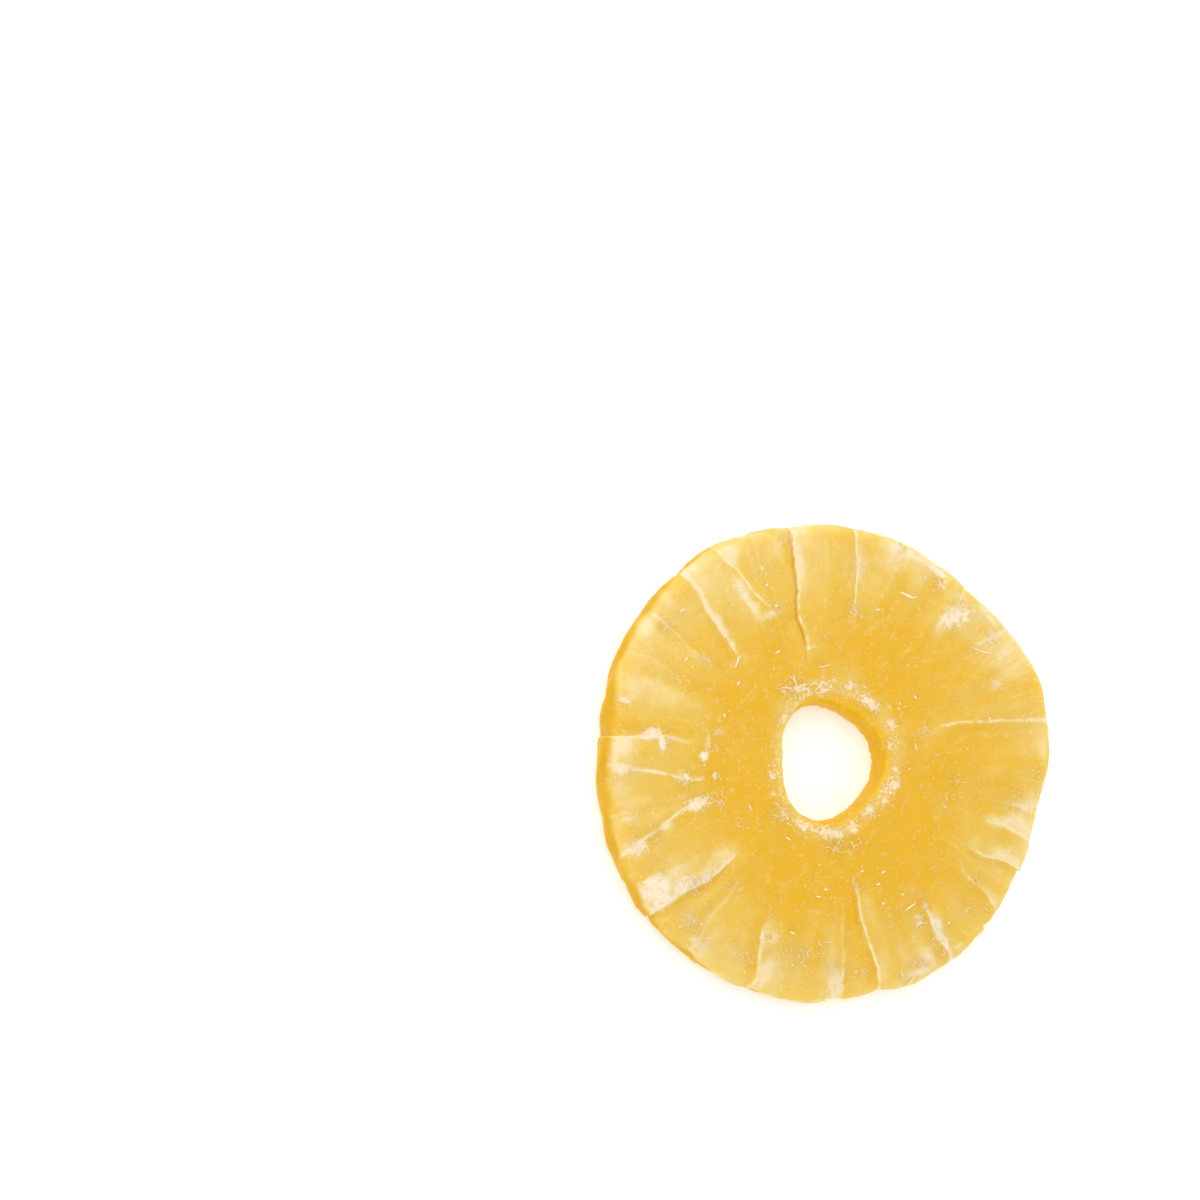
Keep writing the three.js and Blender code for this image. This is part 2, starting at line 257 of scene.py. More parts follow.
# %% The lines of the clefts
def lean_of(which, radius):
    outward = 1 - smoothstep(radius, INNER[which], RIM[which])
    inward = smoothstep(radius, HOLE_RADIUS, INNER[which])
    along = FULL_TURN * (radius / WANDER_LENGTH) + WANDER_APART * which
    return (LEAN[which] + WANDER_TURN * sine(along)) * outward * inward


def leaning(line, radius):
    """The direction of a point of a line: the lines lean as the clefts beside them do."""
    before, after, _, across = wedge_at(line)
    return line + lerp(lean_of(before, radius), lean_of(after, radius), across)


def waver_of(which, out):
    return sum(size * noise.noise((out / length, WANDER_APART * which, 0)) for size, length in EDGE_WAVERS)


WAVER_STEP = 0.15  # noise is slow, so it is worked out once at these steps and read in between
WAVER_RADII = np.arange(HOLE_RADIUS, RIM.max() + 1, WAVER_STEP)
WAVERS = [[waver_of(which, out) for out in WAVER_RADII] for which in range(CLEFT_COUNT)]
print("the lips waver by up to", round(float(np.abs(WAVERS).max()), 2), "mm")


def from_edge(which, line, radius):
    """How far a point is from a cleft's edge, in mm, positive on the side with the lip."""
    waver = np.interp(radius, WAVER_RADII, WAVERS[which])
    return np.radians(turn_between(AT[which], line)) * radius * SIDE[which] + waver


# %% How high the clefts' lips stand and how deep they are split
def strength_of(which, radius):
    return smoothstep(radius, INNER[which], INNER[which] + CLEFT_RUN_IN)


def wall_width(which):
    return lerp(SOFT_WALL, SHARP_WALL, smoothstep(GAP[which], CLOSED_GAP, GAPING))


def cleft_relief(line, radius):
    relief = 0
    for which in range(CLEFT_COUNT):
        away = from_edge(which, line, radius)
        lift = FINE_LIFT * min(LIFT[which], HIGHEST_LIP)
        lip = lift * np.exp(-np.maximum(away, 0) / REACH[which])
        down = FINE_GAP * GAP[which]
        floor_of_gap = -down * np.exp(np.minimum((away + GAP_WIDTH / 2) / GAP_WIDTH, 0))
        up_the_wall = smoothstep(away, -wall_width(which), 0)
        relief = relief + strength_of(which, radius) * lerp(floor_of_gap, lip, up_the_wall)
    return relief


halfway = cleft_relief(all_round, (HOLE_RADIUS + RIM.max()) / 2)
print("halfway out the clefts go from", halfway.min().round(2), "to", halfway.max().round(2), "mm")


# %% The two faces and the wall
def waves(radius, angle):
    x = radius * cosine(angle)
    y = radius * sine(angle)
    heights = 0
    for size, length, towards, start in FACE_WAVES:
        along = x * cosine(towards) + y * sine(towards)
        heights = heights + size * np.sin(2 * math.pi * along / length + start)
    return heights


def face_height(line, radius):
    before, _, width, across = wedge_at(line)
    fall = RIM_FALL * smoothstep(radius, FALL_START, rim_radius(line)) ** FALL_POWER
    sinking = MOUTH_FALL * (1 - smoothstep(radius, HOLE_RADIUS, HOLE_RADIUS + MOUTH_REACH))
    share = 1 + CROWN_SWING * sine(CROWN_APART * before)
    swelling = WEDGE_CROWN * share * smoothstep(radius, CROWN_START, CROWN_FULL)
    crown = swelling * (width / WIDE_WEDGE) * sine(180 * across) ** 2
    wave = waves(radius, leaning(line, radius))
    return FACE_HEIGHT - fall - sinking + crown + wave + cleft_relief(line, radius)


def under_height(line, radius):
    wave = waves(radius, leaning(line, radius) + 90)
    hollow = np.maximum(wave - UNDER_HOLLOW, 0)
    return hollow + UNDER_SHARE * np.maximum(-cleft_relief(line, radius), 0)


def ripple(line, height):
    return RIPPLE_SIZE * sine(RIPPLE_TIMES * line + RIPPLE_TWIST * height)


print("halfway out the face is", face_height(all_round, RIM.mean() / 2).mean().round(2), "mm high")


# %% [markdown]
# ## The lines of the mesh
# A lip is a tenth of a millimetre wide and a wedge is six. Evenly spaced lines fine enough for
# the lips would be wasted on the wedges, so the lines crowd beside each cleft and spread
# elsewhere. That keeps the whole slice under 200,000 triangles.

# %% Where the lines run
# Distances from a cleft in mm, positive on the side with the lip, that have a line each
BESIDE_A_DEEP_CLEFT = [-1.9, -1.1, -0.65, -0.35, -0.15, -0.04, 0.04, 0.15, 0.35, 0.65, 1.1, 1.9]
BESIDE_A_SHALLOW_CLEFT = [-0.9, -0.4, -0.12, 0.12, 0.4, 0.9]
DEEP_CLEFT = 0.3  # a cleft counts as deep from this height of its lip
WIDEST_SPACE = 0.62  # between two lines, in degrees
CLOSEST_LINES = 0.08  # a line that is nearer than this to the one before it is left out


def mesh_lines():
    wanted = []
    for at, rim, lift, side in zip(AT, RIM, LIFT, SIDE):
        places = BESIDE_A_DEEP_CLEFT if lift >= DEEP_CLEFT else BESIDE_A_SHALLOW_CLEFT
        wanted += [(at + math.degrees(place * side / rim)) % FULL_TURN for place in places]
    wanted.sort()
    kept = [line for line, last in zip(wanted, [-1] + wanted) if line - last > CLOSEST_LINES]
    lines = []
    for line, after in zip(kept, kept[1:] + [kept[0] + FULL_TURN]):
        parts = math.ceil((after - line) / WIDEST_SPACE)
        lines += [(line + (after - line) * part / parts) % FULL_TURN for part in range(parts)]
    return np.array(lines)[:, None]


lines = mesh_lines()
print(len(lines), "lines round the slice")

# %% Each line as a closed loop round the flesh
FACE_STEPS = 76  # how many points of each line lie on each part of the loop
SHOULDER_STEPS = 10
FOOT_STEPS = 8
UNDER_STEPS = 26
HOLE_STEPS = 12


def steps(count):
    return np.arange(count)[None, :] / count


rim = rim_radius(lines)
inner_edge = hole_radius(lines) + mouth_round(lines)
power = 2 / EDGE_POWER

face_r = lerp(inner_edge, rim - SHOULDER_DEPTH, steps(FACE_STEPS))
face_z = face_height(lines, face_r)

shoulder_z = face_height(lines, rim - SHOULDER_DEPTH)
turn = 90 * steps(SHOULDER_STEPS)
over_z = lerp(WAIST_HEIGHT, shoulder_z, cosine(turn) ** power)
over_r = rim - SHOULDER_DEPTH * (1 - sine(turn) ** power) + ripple(lines, over_z) * sine(turn)

foot_z = under_height(lines, rim - FOOT_DEPTH)
turn = 90 * steps(FOOT_STEPS)
foot_side_z = lerp(WAIST_HEIGHT, foot_z, sine(turn) ** power)
foot_side_r = rim - FOOT_DEPTH * (1 - cosine(turn) ** power)
foot_side_r = foot_side_r + ripple(lines, foot_side_z) * cosine(turn)

under_r = lerp(rim - FOOT_DEPTH, inner_edge, steps(UNDER_STEPS))
under_z = under_height(lines, under_r)

turn = 180 * steps(HOLE_STEPS)
hole_r = hole_radius(lines) + mouth_round(lines) * (1 - np.sqrt(sine(turn)))
hole_low = under_height(lines, inner_edge)
hole_z = lerp(hole_low, face_height(lines, inner_edge), (1 - cosine(turn)) / 2)

radius = np.hstack([face_r, over_r, foot_side_r, under_r, hole_r])
height = np.hstack([face_z, over_z, foot_side_z, under_z, hole_z])
angle = leaning(lines, radius)
points = np.stack([radius * cosine(angle), radius * sine(angle), height], axis=-1)
print(points.shape[0] * points.shape[1], "points, so", 2 * points.shape[0] * points.shape[1], "triangles")

# %% Noise at a size in millimetres
SEED_APART = 17.3  # each seed reads the noise this far from the last, where it is different


def lumps(grid, size, seed):
    """Smooth noise from about -1 to 1, whose lumps are this many millimetres apart."""
    places = (grid.reshape(-1, 3) / size + seed * SEED_APART).tolist()
    return np.array([noise.noise(place) for place in places]).reshape(grid.shape[:-1])


print("noise at the first point:", round(float(lumps(points[:1, :1], 1, 0)[0, 0]), 3))

# %% [markdown]
# ## Face, walls and mouth
# The parts of a slice look different: its cut face is milky, while the walls of its rim and of its
# hole are clear, wet gold, and the rim's wall is darkened further by painted shade. The way that the
# surface turns tells which part a point is on. How high the gold reaches up the rim, and how far it
# reaches out of the hole, differs from side to side, so both are given by direction. The parts could
# be painted by hand instead, but that would have to be done again after each change of the form.

# %% Normals, and which part of the surface a point is on
def grid_normals(grid):
    """The outward direction at each point of the closed grid."""
    across = np.roll(grid, -1, axis=0) - np.roll(grid, 1, axis=0)
    along = np.roll(grid, -1, axis=1) - np.roll(grid, 1, axis=1)
    normal = np.cross(along, across)
    return normal / np.maximum(np.linalg.norm(normal, axis=-1, keepdims=True), 1e-9)


normal = grid_normals(points)
outward = normal[..., 0] * cosine(angle) + normal[..., 1] * sine(angle)
UPRIGHT = (0.25, 0.8)  # how far a normal has to point up or down to count a little, and wholly,
SIDEWAYS = (0.3, 0.8)  # and the same for outward and inward
on_face = smoothstep(normal[..., 2], *UPRIGHT)
on_under = smoothstep(-normal[..., 2], *UPRIGHT)
on_rim = smoothstep(outward, *SIDEWAYS)
in_hole = smoothstep(-outward, *SIDEWAYS)
print("normals of the face point up:", float(normal[:, :FACE_STEPS, 2].mean().round(2)))

# %% The clear gold wall of the rim
WALL_TOPS = [  # a direction, and how high up the rim the gold reaches there, in mm
    (0, 2.4),
    (90, 2.6),
    (110, 3.6),
    (128, 4.2),
    (143, 5.2),
    (155, 5),
    (164, 5.4),
    (171, 6.3),
    (181, 5.8),
    (195, 5),
    (215, 5),
    (235, 3.8),
    (250, 2.6),
    (275, 1.8),
]
WALL_TOP_WAVER = 0.5
WALL_TOP_BLEND = 0.9
WALL_SIDEWAYS = (0.3, 0.7)
wall_top = np.interp(angle % FULL_TURN, *np.transpose(WALL_TOPS), period=FULL_TURN)
below_top = wall_top + WALL_TOP_WAVER * lumps(points, 2, 7) - height
on_wall = smoothstep(outward, *WALL_SIDEWAYS) * smoothstep(below_top, -WALL_TOP_BLEND, WALL_TOP_BLEND)
print("share of the points on the gold wall:", float(on_wall.mean().round(3)))

# %% The clear gold of the hole's wall and mouth
GOLD_MOUTH = -0.55  # how far past the mouth's edge the gold reaches over the face, on average,
GOLD_SWING = 0.95  # and how much more or less round the hole,
GOLD_TOWARDS = 35  # with the most in this direction, where the mouth is worn most
GOLD_WAVER = 0.25
GOLD_BLEND = 0.35
OUTER_WALL = 0.5  # the rim's wall points outward by more than this,
OUT_OF_HOLE = 9  # and is this far from any gold of the hole: anything past the blend would do
gold_reach = GOLD_MOUTH + GOLD_SWING * cosine(angle - GOLD_TOWARDS) + GOLD_WAVER * lumps(points, 1.5, 8)
past_mouth = np.where(outward < OUTER_WALL, radius - inner_edge - gold_reach, OUT_OF_HOLE)
hole_wall = 1 - smoothstep(past_mouth, -GOLD_BLEND, GOLD_BLEND)
print("share of the points on the hole's wall and mouth:", float(hole_wall.mean().round(3)))

# %% [markdown]
# ## Fine relief
# Close up, dried flesh isn't smooth. It has soft lumps where cells have shrunk, faint fibres that
# run outward, small pits, and bumps of sugar. Blender's own noise, read in millimetres, gives each
# of them at its real size, and moves the points of the mesh. A bump map alone would leave the
# edges of the slice perfectly smooth when seen from the side.

# %% Noise drawn out along the fibres
def fibre_run(radius, angle, across, along):
    """A place in a space where noise is drawn out along the fibres: fine round, and long outward."""
    round_it = RIM.mean() / across
    return np.stack([round_it * cosine(angle), round_it * sine(angle), radius / along], axis=-1)


soft_lumps = lumps(points, 3.2, 1)
small_lumps = lumps(points, 1.2, 2)
fine_lumps = lumps(points, 0.55, 3)
fibres = lumps(fibre_run(radius, angle, 1.4, 9), 1, 4)
print("lumps range from", soft_lumps.min().round(2), "to", soft_lumps.max().round(2))

# %% Where the fibres show as streaks
STREAKED = [  # a direction, how widely the streaks spread there, and how clear they are
    (25, 14, 0.85),
    (353, 10, 0.85),
    (158, 12, 0.15),
    (92, 12, 0.35),
]
FAINT_STREAKS = 0.2  # how clear they are elsewhere
STREAKS_OUT = (24, 35)  # they begin this far from the middle, and show fully this far
streaky = FAINT_STREAKS + sum(
    clear * np.exp(-((turn_between(at, angle) / wide) ** 2)) for at, wide, clear in STREAKED
)
streaky = np.minimum(streaky, 1) * smoothstep(radius, *STREAKS_OUT) * (1 - on_wall)
print("streaks are", float(streaky.mean().round(3)), "clear on average")

# %% [markdown]
# ## Pale and frosted places
# The outer flesh has turned milky, because sugar has set inside it, and it is palest on the
# standing side of each cleft. White frost, which is sugar on the surface, sits round the hole, on
# the lips and in a few patches. Three numbers at each point of the mesh say how pale, how frosted
# and how much painted shade darkens it, and the material reads them. Each patch is a row of sizes,
# placed one by one after the real slice, and the last rows are broad and faint, to balance the whole.
# A painted image would do the same but could not be read or changed as easily.

# %% Patches
def patch(at, out, long, wide, milky=0.0, frost=0.0, turn=0.0, within=False):
    """at: its direction. out: how far it is from the middle. long and wide: half its size outward
    and round. milky and frost: how strongly it shows. turn: how far its long axis is turned
    from outward towards the next directions. within: whether the clefts beside it bound it."""
    return at, out, long, wide, milky, frost, turn, within


PATCHES = [
    patch(3, 37.3, 1, 2, milky=0.3, frost=0.15),
    patch(6, 35.5, 3, 4, milky=0.25),
    patch(10.4, 38.8, 0.5, 0.4, milky=0.5, frost=0.8),
    patch(17, 16.2, 1.6, 0.4, milky=0.4),
    patch(15.5, 20, 4, 0.8, milky=0.35, turn=12),
    patch(24, 31.5, 0.8, 0.8, milky=0.5, frost=0.35),
    patch(28, 36.3, 3.4, 3.4, milky=0.45),
    patch(27, 24, 4, 2.2, milky=0.2),
    patch(36.5, 35.8, 0.45, 1.3, milky=0.5, frost=0.5),
    patch(41, 37.3, 0.8, 2.4, milky=0.5, frost=0.5),
    patch(38, 33, 2, 3, milky=0.25),
    patch(48, 32.3, 2.7, 1.5, milky=0.8, frost=1.1, turn=-30),
    patch(48.6, 28.9, 1.7, 1.2, milky=0.5, frost=0.12),
    patch(49, 35.4, 1.2, 3, milky=0.25, frost=0.25),
    patch(56, 35.3, 0.6, 0.6, frost=1),
    patch(58.5, 37.1, 0.7, 1.7, milky=0.5, frost=1.2),
    patch(68, 37.3, 1.1, 5, milky=0.6, frost=0.4),
    patch(70, 35.3, 2.2, 5, milky=0.55),
    patch(72, 22.7, 1.9, 0.4, milky=0.5, frost=0.1, turn=-35),
    patch(76, 30, 4, 2.6, milky=0.25),
    patch(80.5, 32.5, 2.2, 0.8, milky=0.4),
    patch(81, 24.3, 1.6, 0.7, milky=0.35, frost=0.4),
    patch(98.9, 32, 3.2, 0.8, milky=0.45, within=True),
    patch(102.2, 34.2, 2.3, 0.7, milky=-0.4, within=True),
    patch(104.5, 35.5, 1.8, 0.9, milky=0.4),
    patch(101.8, 18.5, 0.35, 1.2, milky=0.5, frost=0.3),
    patch(114.6, 25.6, 0.7, 2, milky=0.9, frost=0.5),
    patch(118.6, 27.6, 1.9, 1, milky=1),
    patch(119.2, 31.4, 2.8, 1.1, milky=0.9, frost=0.45),
    patch(117.5, 37.3, 1.3, 2, milky=0.9, frost=0.25),
    patch(127, 36, 2.4, 2.6, milky=0.25),
    patch(136, 35, 3, 2.6, milky=0.2),
    patch(136.8, 22.5, 0.35, 1.7, milky=0.6, frost=0.15),
    patch(133, 21.5, 0.3, 1, milky=0.4, frost=0.2),
    patch(144.3, 29, 4, 0.5, milky=0.4),
    patch(146.5, 37.3, 1.4, 2.4, milky=0.65, frost=0.12),
    patch(153.5, 36.5, 1.6, 3, milky=0.2),
    patch(161, 30.5, 6.5, 2.6, milky=0.45),
    patch(163, 35.8, 1.8, 2.2, milky=0.35),
    patch(158, 37.4, 1.9, 9, milky=-0.35),
    patch(190, 37.9, 1.3, 5, milky=-0.35),
    patch(165.7, 35.9, 0.8, 0.4, milky=0.3, frost=1.5),
    patch(170.5, 35.3, 1.7, 2.4, milky=-0.3),
    patch(167.5, 19.5, 0.6, 1, milky=0.4, frost=0.2, turn=-60),
    patch(173.2, 30.1, 1.1, 0.9, milky=0.5, frost=1.6),
    patch(174.6, 31.7, 0.8, 0.6, milky=0.5, frost=1.6),
    patch(176.4, 29, 0.5, 1, milky=0.4, frost=1.8),
    patch(174, 27.5, 0.7, 0.4, milky=0.4, frost=0.3),
    patch(179.8, 21.9, 0.6, 0.7, milky=0.5, frost=1.8),
    patch(175, 21.3, 0.45, 1.8, milky=0.9, frost=0.45),
    patch(178.3, 35.8, 2.6, 2.2, milky=0.95, within=True),
    patch(183.7, 35.2, 1.3, 0.7, milky=0.5, frost=0.9),
    patch(181, 37.3, 0.9, 1.2, milky=0.5, frost=0.4),
    patch(188, 36.2, 1.8, 1.8, milky=0.4, frost=0.15),
    patch(185.8, 25.8, 1, 0.5, milky=0.5, frost=0.3, turn=-35),
    patch(188.3, 25, 0.3, 0.6, milky=0.4, frost=1.4),
    patch(189.2, 20.4, 0.35, 0.5, milky=0.4, frost=0.7),
    patch(192, 35, 2.5, 2, milky=0.3),
    patch(196.5, 35.8, 1.2, 0.4, milky=0.5, frost=0.45, turn=-15),
    patch(204.3, 36, 1.5, 1.2, milky=0.5, frost=1.2),
    patch(202.2, 30.3, 1.2, 0.9, milky=0.7, frost=0.35),
    patch(198.7, 24.2, 1.8, 0.85, milky=0.5, frost=1.2),
    patch(201.4, 20.7, 0.3, 0.9, milky=0.4, frost=0.4),
    patch(214, 31.5, 4.5, 2.6, milky=0.45),
    patch(216.3, 36.6, 2, 3, milky=0.6, frost=1.5, within=True),
    patch(219.3, 32.5, 1.7, 1, milky=0.6, frost=1, within=True),
    patch(221, 28.7, 2, 0.9, milky=0.6, frost=0.45, within=True),
    patch(220.6, 24.8, 2.4, 1.6, milky=0.8),
    patch(227, 35.7, 1.2, 1.5, milky=0.3, frost=0.3),
    patch(232.5, 37.4, 0.5, 1.2, milky=0.4, frost=0.5),
    patch(230.8, 31.5, 4, 1, milky=0.35),
    patch(231.2, 27, 1.3, 0.3, milky=0.5, frost=0.15),
    patch(237, 37, 2, 3, milky=0.3),
    patch(247.5, 29.7, 1.5, 1, milky=0.8, frost=0.1, within=True),
    patch(248, 32.4, 1.5, 0.8, milky=0.7, frost=0.1, within=True),
    patch(250.4, 30.8, 1, 0.7, milky=0.5, frost=0.7),
    patch(251, 36.5, 2.1, 1.6, milky=0.85, frost=0.1, within=True),
    patch(257, 36.6, 2, 3, milky=0.25),
    patch(265, 36.5, 2.2, 2.5, milky=0.2),
    patch(271, 36.4, 2.2, 1.1, milky=0.8, frost=0.35, within=True),
    patch(270, 30.5, 3, 3.5, milky=-0.2),
    patch(276, 26, 1.8, 0.8, milky=-0.3),
    patch(283.7, 25, 2.6, 1, milky=0.45, within=True),
    patch(283.7, 34.5, 2.6, 0.9, milky=0.55, within=True),
    patch(293.5, 37.5, 0.6, 2.2, milky=0.5, frost=0.6, turn=-8),
    patch(288, 37.8, 0.5, 1, milky=0.4, frost=0.4),
    patch(291.5, 33.5, 2.6, 1.2, milky=0.3),
    patch(297.5, 36, 1.6, 1, milky=0.4, frost=0.35),
    patch(299.3, 30, 1.6, 0.7, milky=0.4, frost=0.55),
    patch(302.6, 27.7, 0.6, 0.5, milky=-0.6),
    patch(303.8, 28.2, 0.4, 0.4, milky=0.4, frost=0.5),
    patch(302.6, 35, 1.8, 0.8, milky=0.7, frost=1.2, within=True),
    patch(303.5, 32, 1.7, 0.9, milky=0.7, frost=1, within=True),
    patch(305.8, 37.3, 0.5, 0.8, milky=0.5, frost=0.5),
    patch(321.5, 35.3, 2.3, 0.9, milky=0.5, frost=0.1, within=True),
    patch(320.8, 29, 2.6, 0.8, milky=0.45, within=True),
    patch(332.5, 33.5, 3.4, 1.1, milky=0.85, within=True),
    patch(331, 28, 1.6, 1.2, milky=0.55, within=True),
    patch(342.3, 33.5, 2.6, 1.7, milky=0.85, frost=0.15, within=True),
    patch(341.3, 29.5, 1.3, 1, milky=0.6),
    patch(336, 36.3, 1.8, 2.6, milky=0.4),
    patch(347.8, 34, 1.9, 0.4, milky=0.5, frost=0.4),
    patch(351, 35.2, 1.1, 1.6, milky=0.45, frost=0.15),
    patch(350.5, 28, 3.2, 0.5, milky=0.35, turn=12),
    patch(356.5, 27.5, 2.4, 0.4, milky=0.3, turn=20),
    patch(75, 14.8, 1.8, 2.2, milky=0.3),
    patch(88, 15.5, 1.8, 2.6, milky=0.2),
    patch(60, 26, 3, 4.5, milky=-0.2),
    patch(104, 12.5, 1.5, 3, milky=-0.25),
    patch(104, 19.5, 4.5, 2.5, milky=0.17),
    patch(2, 15, 3.5, 2.8, milky=0.22),
    patch(16, 19, 4, 4, milky=0.2),
    patch(8, 37, 1.5, 7, milky=0.2),
    patch(165, 23.5, 2.5, 3.5, milky=0.2),
    patch(210, 23, 3, 4, milky=0.15),
    patch(225, 23, 3, 3.5, milky=0.25),
    patch(240, 35, 2.5, 4, milky=0.2),
    patch(300, 36, 2, 4, milky=0.22),
    patch(332, 25, 2.5, 4, milky=0.2),
    patch(345, 21, 6, 4.5, milky=0.17),
    patch(346, 35.5, 3, 5, milky=0.25),
]
CORE_FROST = [  # clumps round the mouth of the hole: direction, distance, half size, strength
    (14, 9.9, 0.45, 1),
    (22, 13.4, 0.35, 0.5),
    (30, 12, 0.5, 1),
    (41, 13.3, 0.4, 0.4),
    (50, 11.4, 0.5, 0.8),
    (58, 11.6, 0.5, 1),
    (65, 13.4, 0.35, 0.5),
    (74, 13.1, 0.55, 1),
    (76, 12.2, 0.4, 0.7),
    (87, 13.3, 0.4, 0.5),
    (98, 11.2, 0.3, 0.9),
    (113, 12.4, 0.4, 0.5),
    (119, 13, 0.5, 0.6),
    (127, 13.8, 0.4, 0.5),
    (142, 10.4, 0.5, 0.5),
    (160, 9.8, 0.5, 0.4),
    (196, 10.7, 0.4, 0.9),
    (210, 11.6, 0.4, 0.6),
    (218, 12.3, 0.4, 0.6),
    (228, 12.4, 0.6, 0.8),
    (247, 12.3, 0.4, 0.6),
    (262, 14.1, 0.4, 0.5),
    (266, 12.2, 0.7, 1),
    (275, 12.5, 0.55, 1),
    (280, 15.2, 0.4, 0.5),
    (288, 12.2, 0.5, 0.6),
    (309, 10.5, 0.4, 0.8),
    (322, 11.4, 0.5, 0.5),
    (340, 11.7, 0.6, 0.8),
    (352, 11, 0.5, 0.6),
]
print(len(PATCHES), "patches and", len(CORE_FROST), "clumps")

# %% The shape of a patch
SMALL_UNEVEN = 0.7  # how much the lumps of both sizes fray its border
FINE_UNEVEN = 0.5
LEAST_EVEN = 0.3
BORDER_POWER = 1.2  # 1 fades as softly as a blur does, and more has a clearer border
CUT_BLEND = 0.2  # over how many millimetres a cleft cuts it off
TRIES = 3


def blob(at, out, long, wide, turned=0):
    """1 in the middle of a patch, falling to 0 over its uneven border."""
    round_it = np.radians(turn_between(at, angle)) * radius
    further = radius - out
    lengthwise = (further * cosine(turned) + round_it * sine(turned)) / long
    crosswise = (round_it * cosine(turned) - further * sine(turned)) / wide
    uneven = 1 + SMALL_UNEVEN * small_lumps + FINE_UNEVEN * fine_lumps
    away = (lengthwise ** 2 + crosswise ** 2) ** BORDER_POWER
    return np.exp(-np.maximum(uneven, LEAST_EVEN) * away)


def between_clefts(at, out):
    """1 on the wedge that a place is on, and 0 past the clefts that bound it, where they are cut."""
    line = np.array(at)
    for _ in range(TRIES):  # leaning depends on the line, so it is found by trying and mending
        line = line + turn_between(leaning(line, out), at)
    before, after, _, _ = wedge_at(line % FULL_TURN)
    inside = 1
    for which, sign in ((before, 1), (after, -1)):
        inward = from_edge(which, lines, radius) * SIDE[which] * sign
        cut = smoothstep(inward, -CUT_BLEND, CUT_BLEND)
        inside = inside * lerp(1, cut, strength_of(which, radius))
    return inside


print("a patch 2 mm across covers", int((blob(90, 25, 1, 1) > 0.5).sum()), "points")

# %% How pale the flesh is by itself, on a scale where 0 is deep clear gold and 1 is dry cream
MIDDLE_PALENESS = 0.28
OUTER_PALENESS = 0.58
PALER_OUT = (18, 37)  # it grows paler from this far out to this far
BROAD_CHANGE = 0.07
SMALL_CHANGE = 0.03
PAINTED_LIGHT_SIDE = 0.04  # painted light: the slice is a little paler towards one side, where the key light is
PAINTED_LIGHT_TOWARDS = 130
BAND_CHANGE = 0.2  # broad bands along the fibres
BANDS_OUT = (20, 32)

pale = lerp(MIDDLE_PALENESS, OUTER_PALENESS, smoothstep(radius, *PALER_OUT))
pale = pale + BROAD_CHANGE * lumps(points, 6, 5) + SMALL_CHANGE * small_lumps
# Painted light: paler towards the key light's side
pale = pale + PAINTED_LIGHT_SIDE * cosine(angle - PAINTED_LIGHT_TOWARDS)
bands = lumps(fibre_run(radius, angle, 3, 14), 1, 9)
pale = pale + BAND_CHANGE * bands * smoothstep(radius, *BANDS_OUT)
print("paleness from", pale.min().round(2), "to", pale.max().round(2))

# %% Pale dry lips, and painted shade on the low side of each cleft and down in the splits
LIP_SIDE_BLEND = (-0.25, 0.1)
LIP_SIDE_PALER = 0.05
DRY_SIDE_PALER = 0.1  # more, the drier the lip is
# Painted shade under each lip: the low side of a cleft is darker, the more so the higher its lip stands
LOW_SIDE_PAINTED_SHADE = 0.15
LOW_SIDE_REACH = 1.6
LIP_AT = 0.1  # the dry line runs this far behind the edge,
LIP_WIDTH = 0.16  # and half its width is this, and more if it is drier
LIP_EVEN = 0.8
LIP_UNEVEN = 1.1
LIP_PALER = 0.7
LIP_FROST = 0.4
SPLIT_OPENS = (0.4, 0.65)  # a split shows painted shade down in it from one of these depths to the other
SPLIT_PAINTED_SHADE = 0.8
SPLIT_WIDTH = 0.18

frost = np.zeros_like(radius)
split_shade = np.zeros_like(radius)
for which in range(CLEFT_COUNT):
    away = from_edge(which, lines, radius)
    here = strength_of(which, radius)
    on_lip_side = smoothstep(away, *LIP_SIDE_BLEND)
    broad = here * on_lip_side * np.exp(-np.maximum(away, 0) / REACH[which])
    painted_low_shade = here * (1 - on_lip_side) * np.exp(np.minimum(away, 0) / LOW_SIDE_REACH)
    pale = pale + (LIP_SIDE_PALER + DRY_SIDE_PALER * DRY[which]) * broad
    # painted shade on the low side, deeper under a higher lip
    pale = pale - LOW_SIDE_PAINTED_SHADE * LIFT[which] * painted_low_shade
    off_line = (away - LIP_AT) / (LIP_WIDTH + LIP_WIDTH * DRY[which])
    lip = here * DRY[which] * np.exp(-(off_line ** 2)) * (LIP_EVEN + LIP_UNEVEN * small_lumps)
    pale = pale + LIP_PALER * np.maximum(lip, 0)
    frost = frost + LIP_FROST * np.maximum(lip, 0)
    # Painted shade down in each split that is deep enough: deeper gold, strongest at the split
    opening = here * smoothstep(GAP[which], *SPLIT_OPENS)
    in_split = np.where(away > 0, 0, np.exp(-np.abs(away) / SPLIT_WIDTH))
    split_shade = np.maximum(split_shade, SPLIT_PAINTED_SHADE * opening * in_split)
print("points in wet splits:", int((split_shade > 0.4).sum()))

# %% The patches
MILKY_PALER = 0.45
FROST_PALER = 0.15
PATCH_FROST = 0.9
for at, out, long, wide, milky, frosty, turned, within in PATCHES:
    shape = blob(at, out, long, wide, turned) * (between_clefts(at, out) if within else 1)
    pale = pale + (MILKY_PALER * milky + FROST_PALER * frosty) * shape
    frost = frost + PATCH_FROST * frosty * shape
print("frosted share of the face:", float((frost[:, :FACE_STEPS] > 0.4).mean().round(3)))

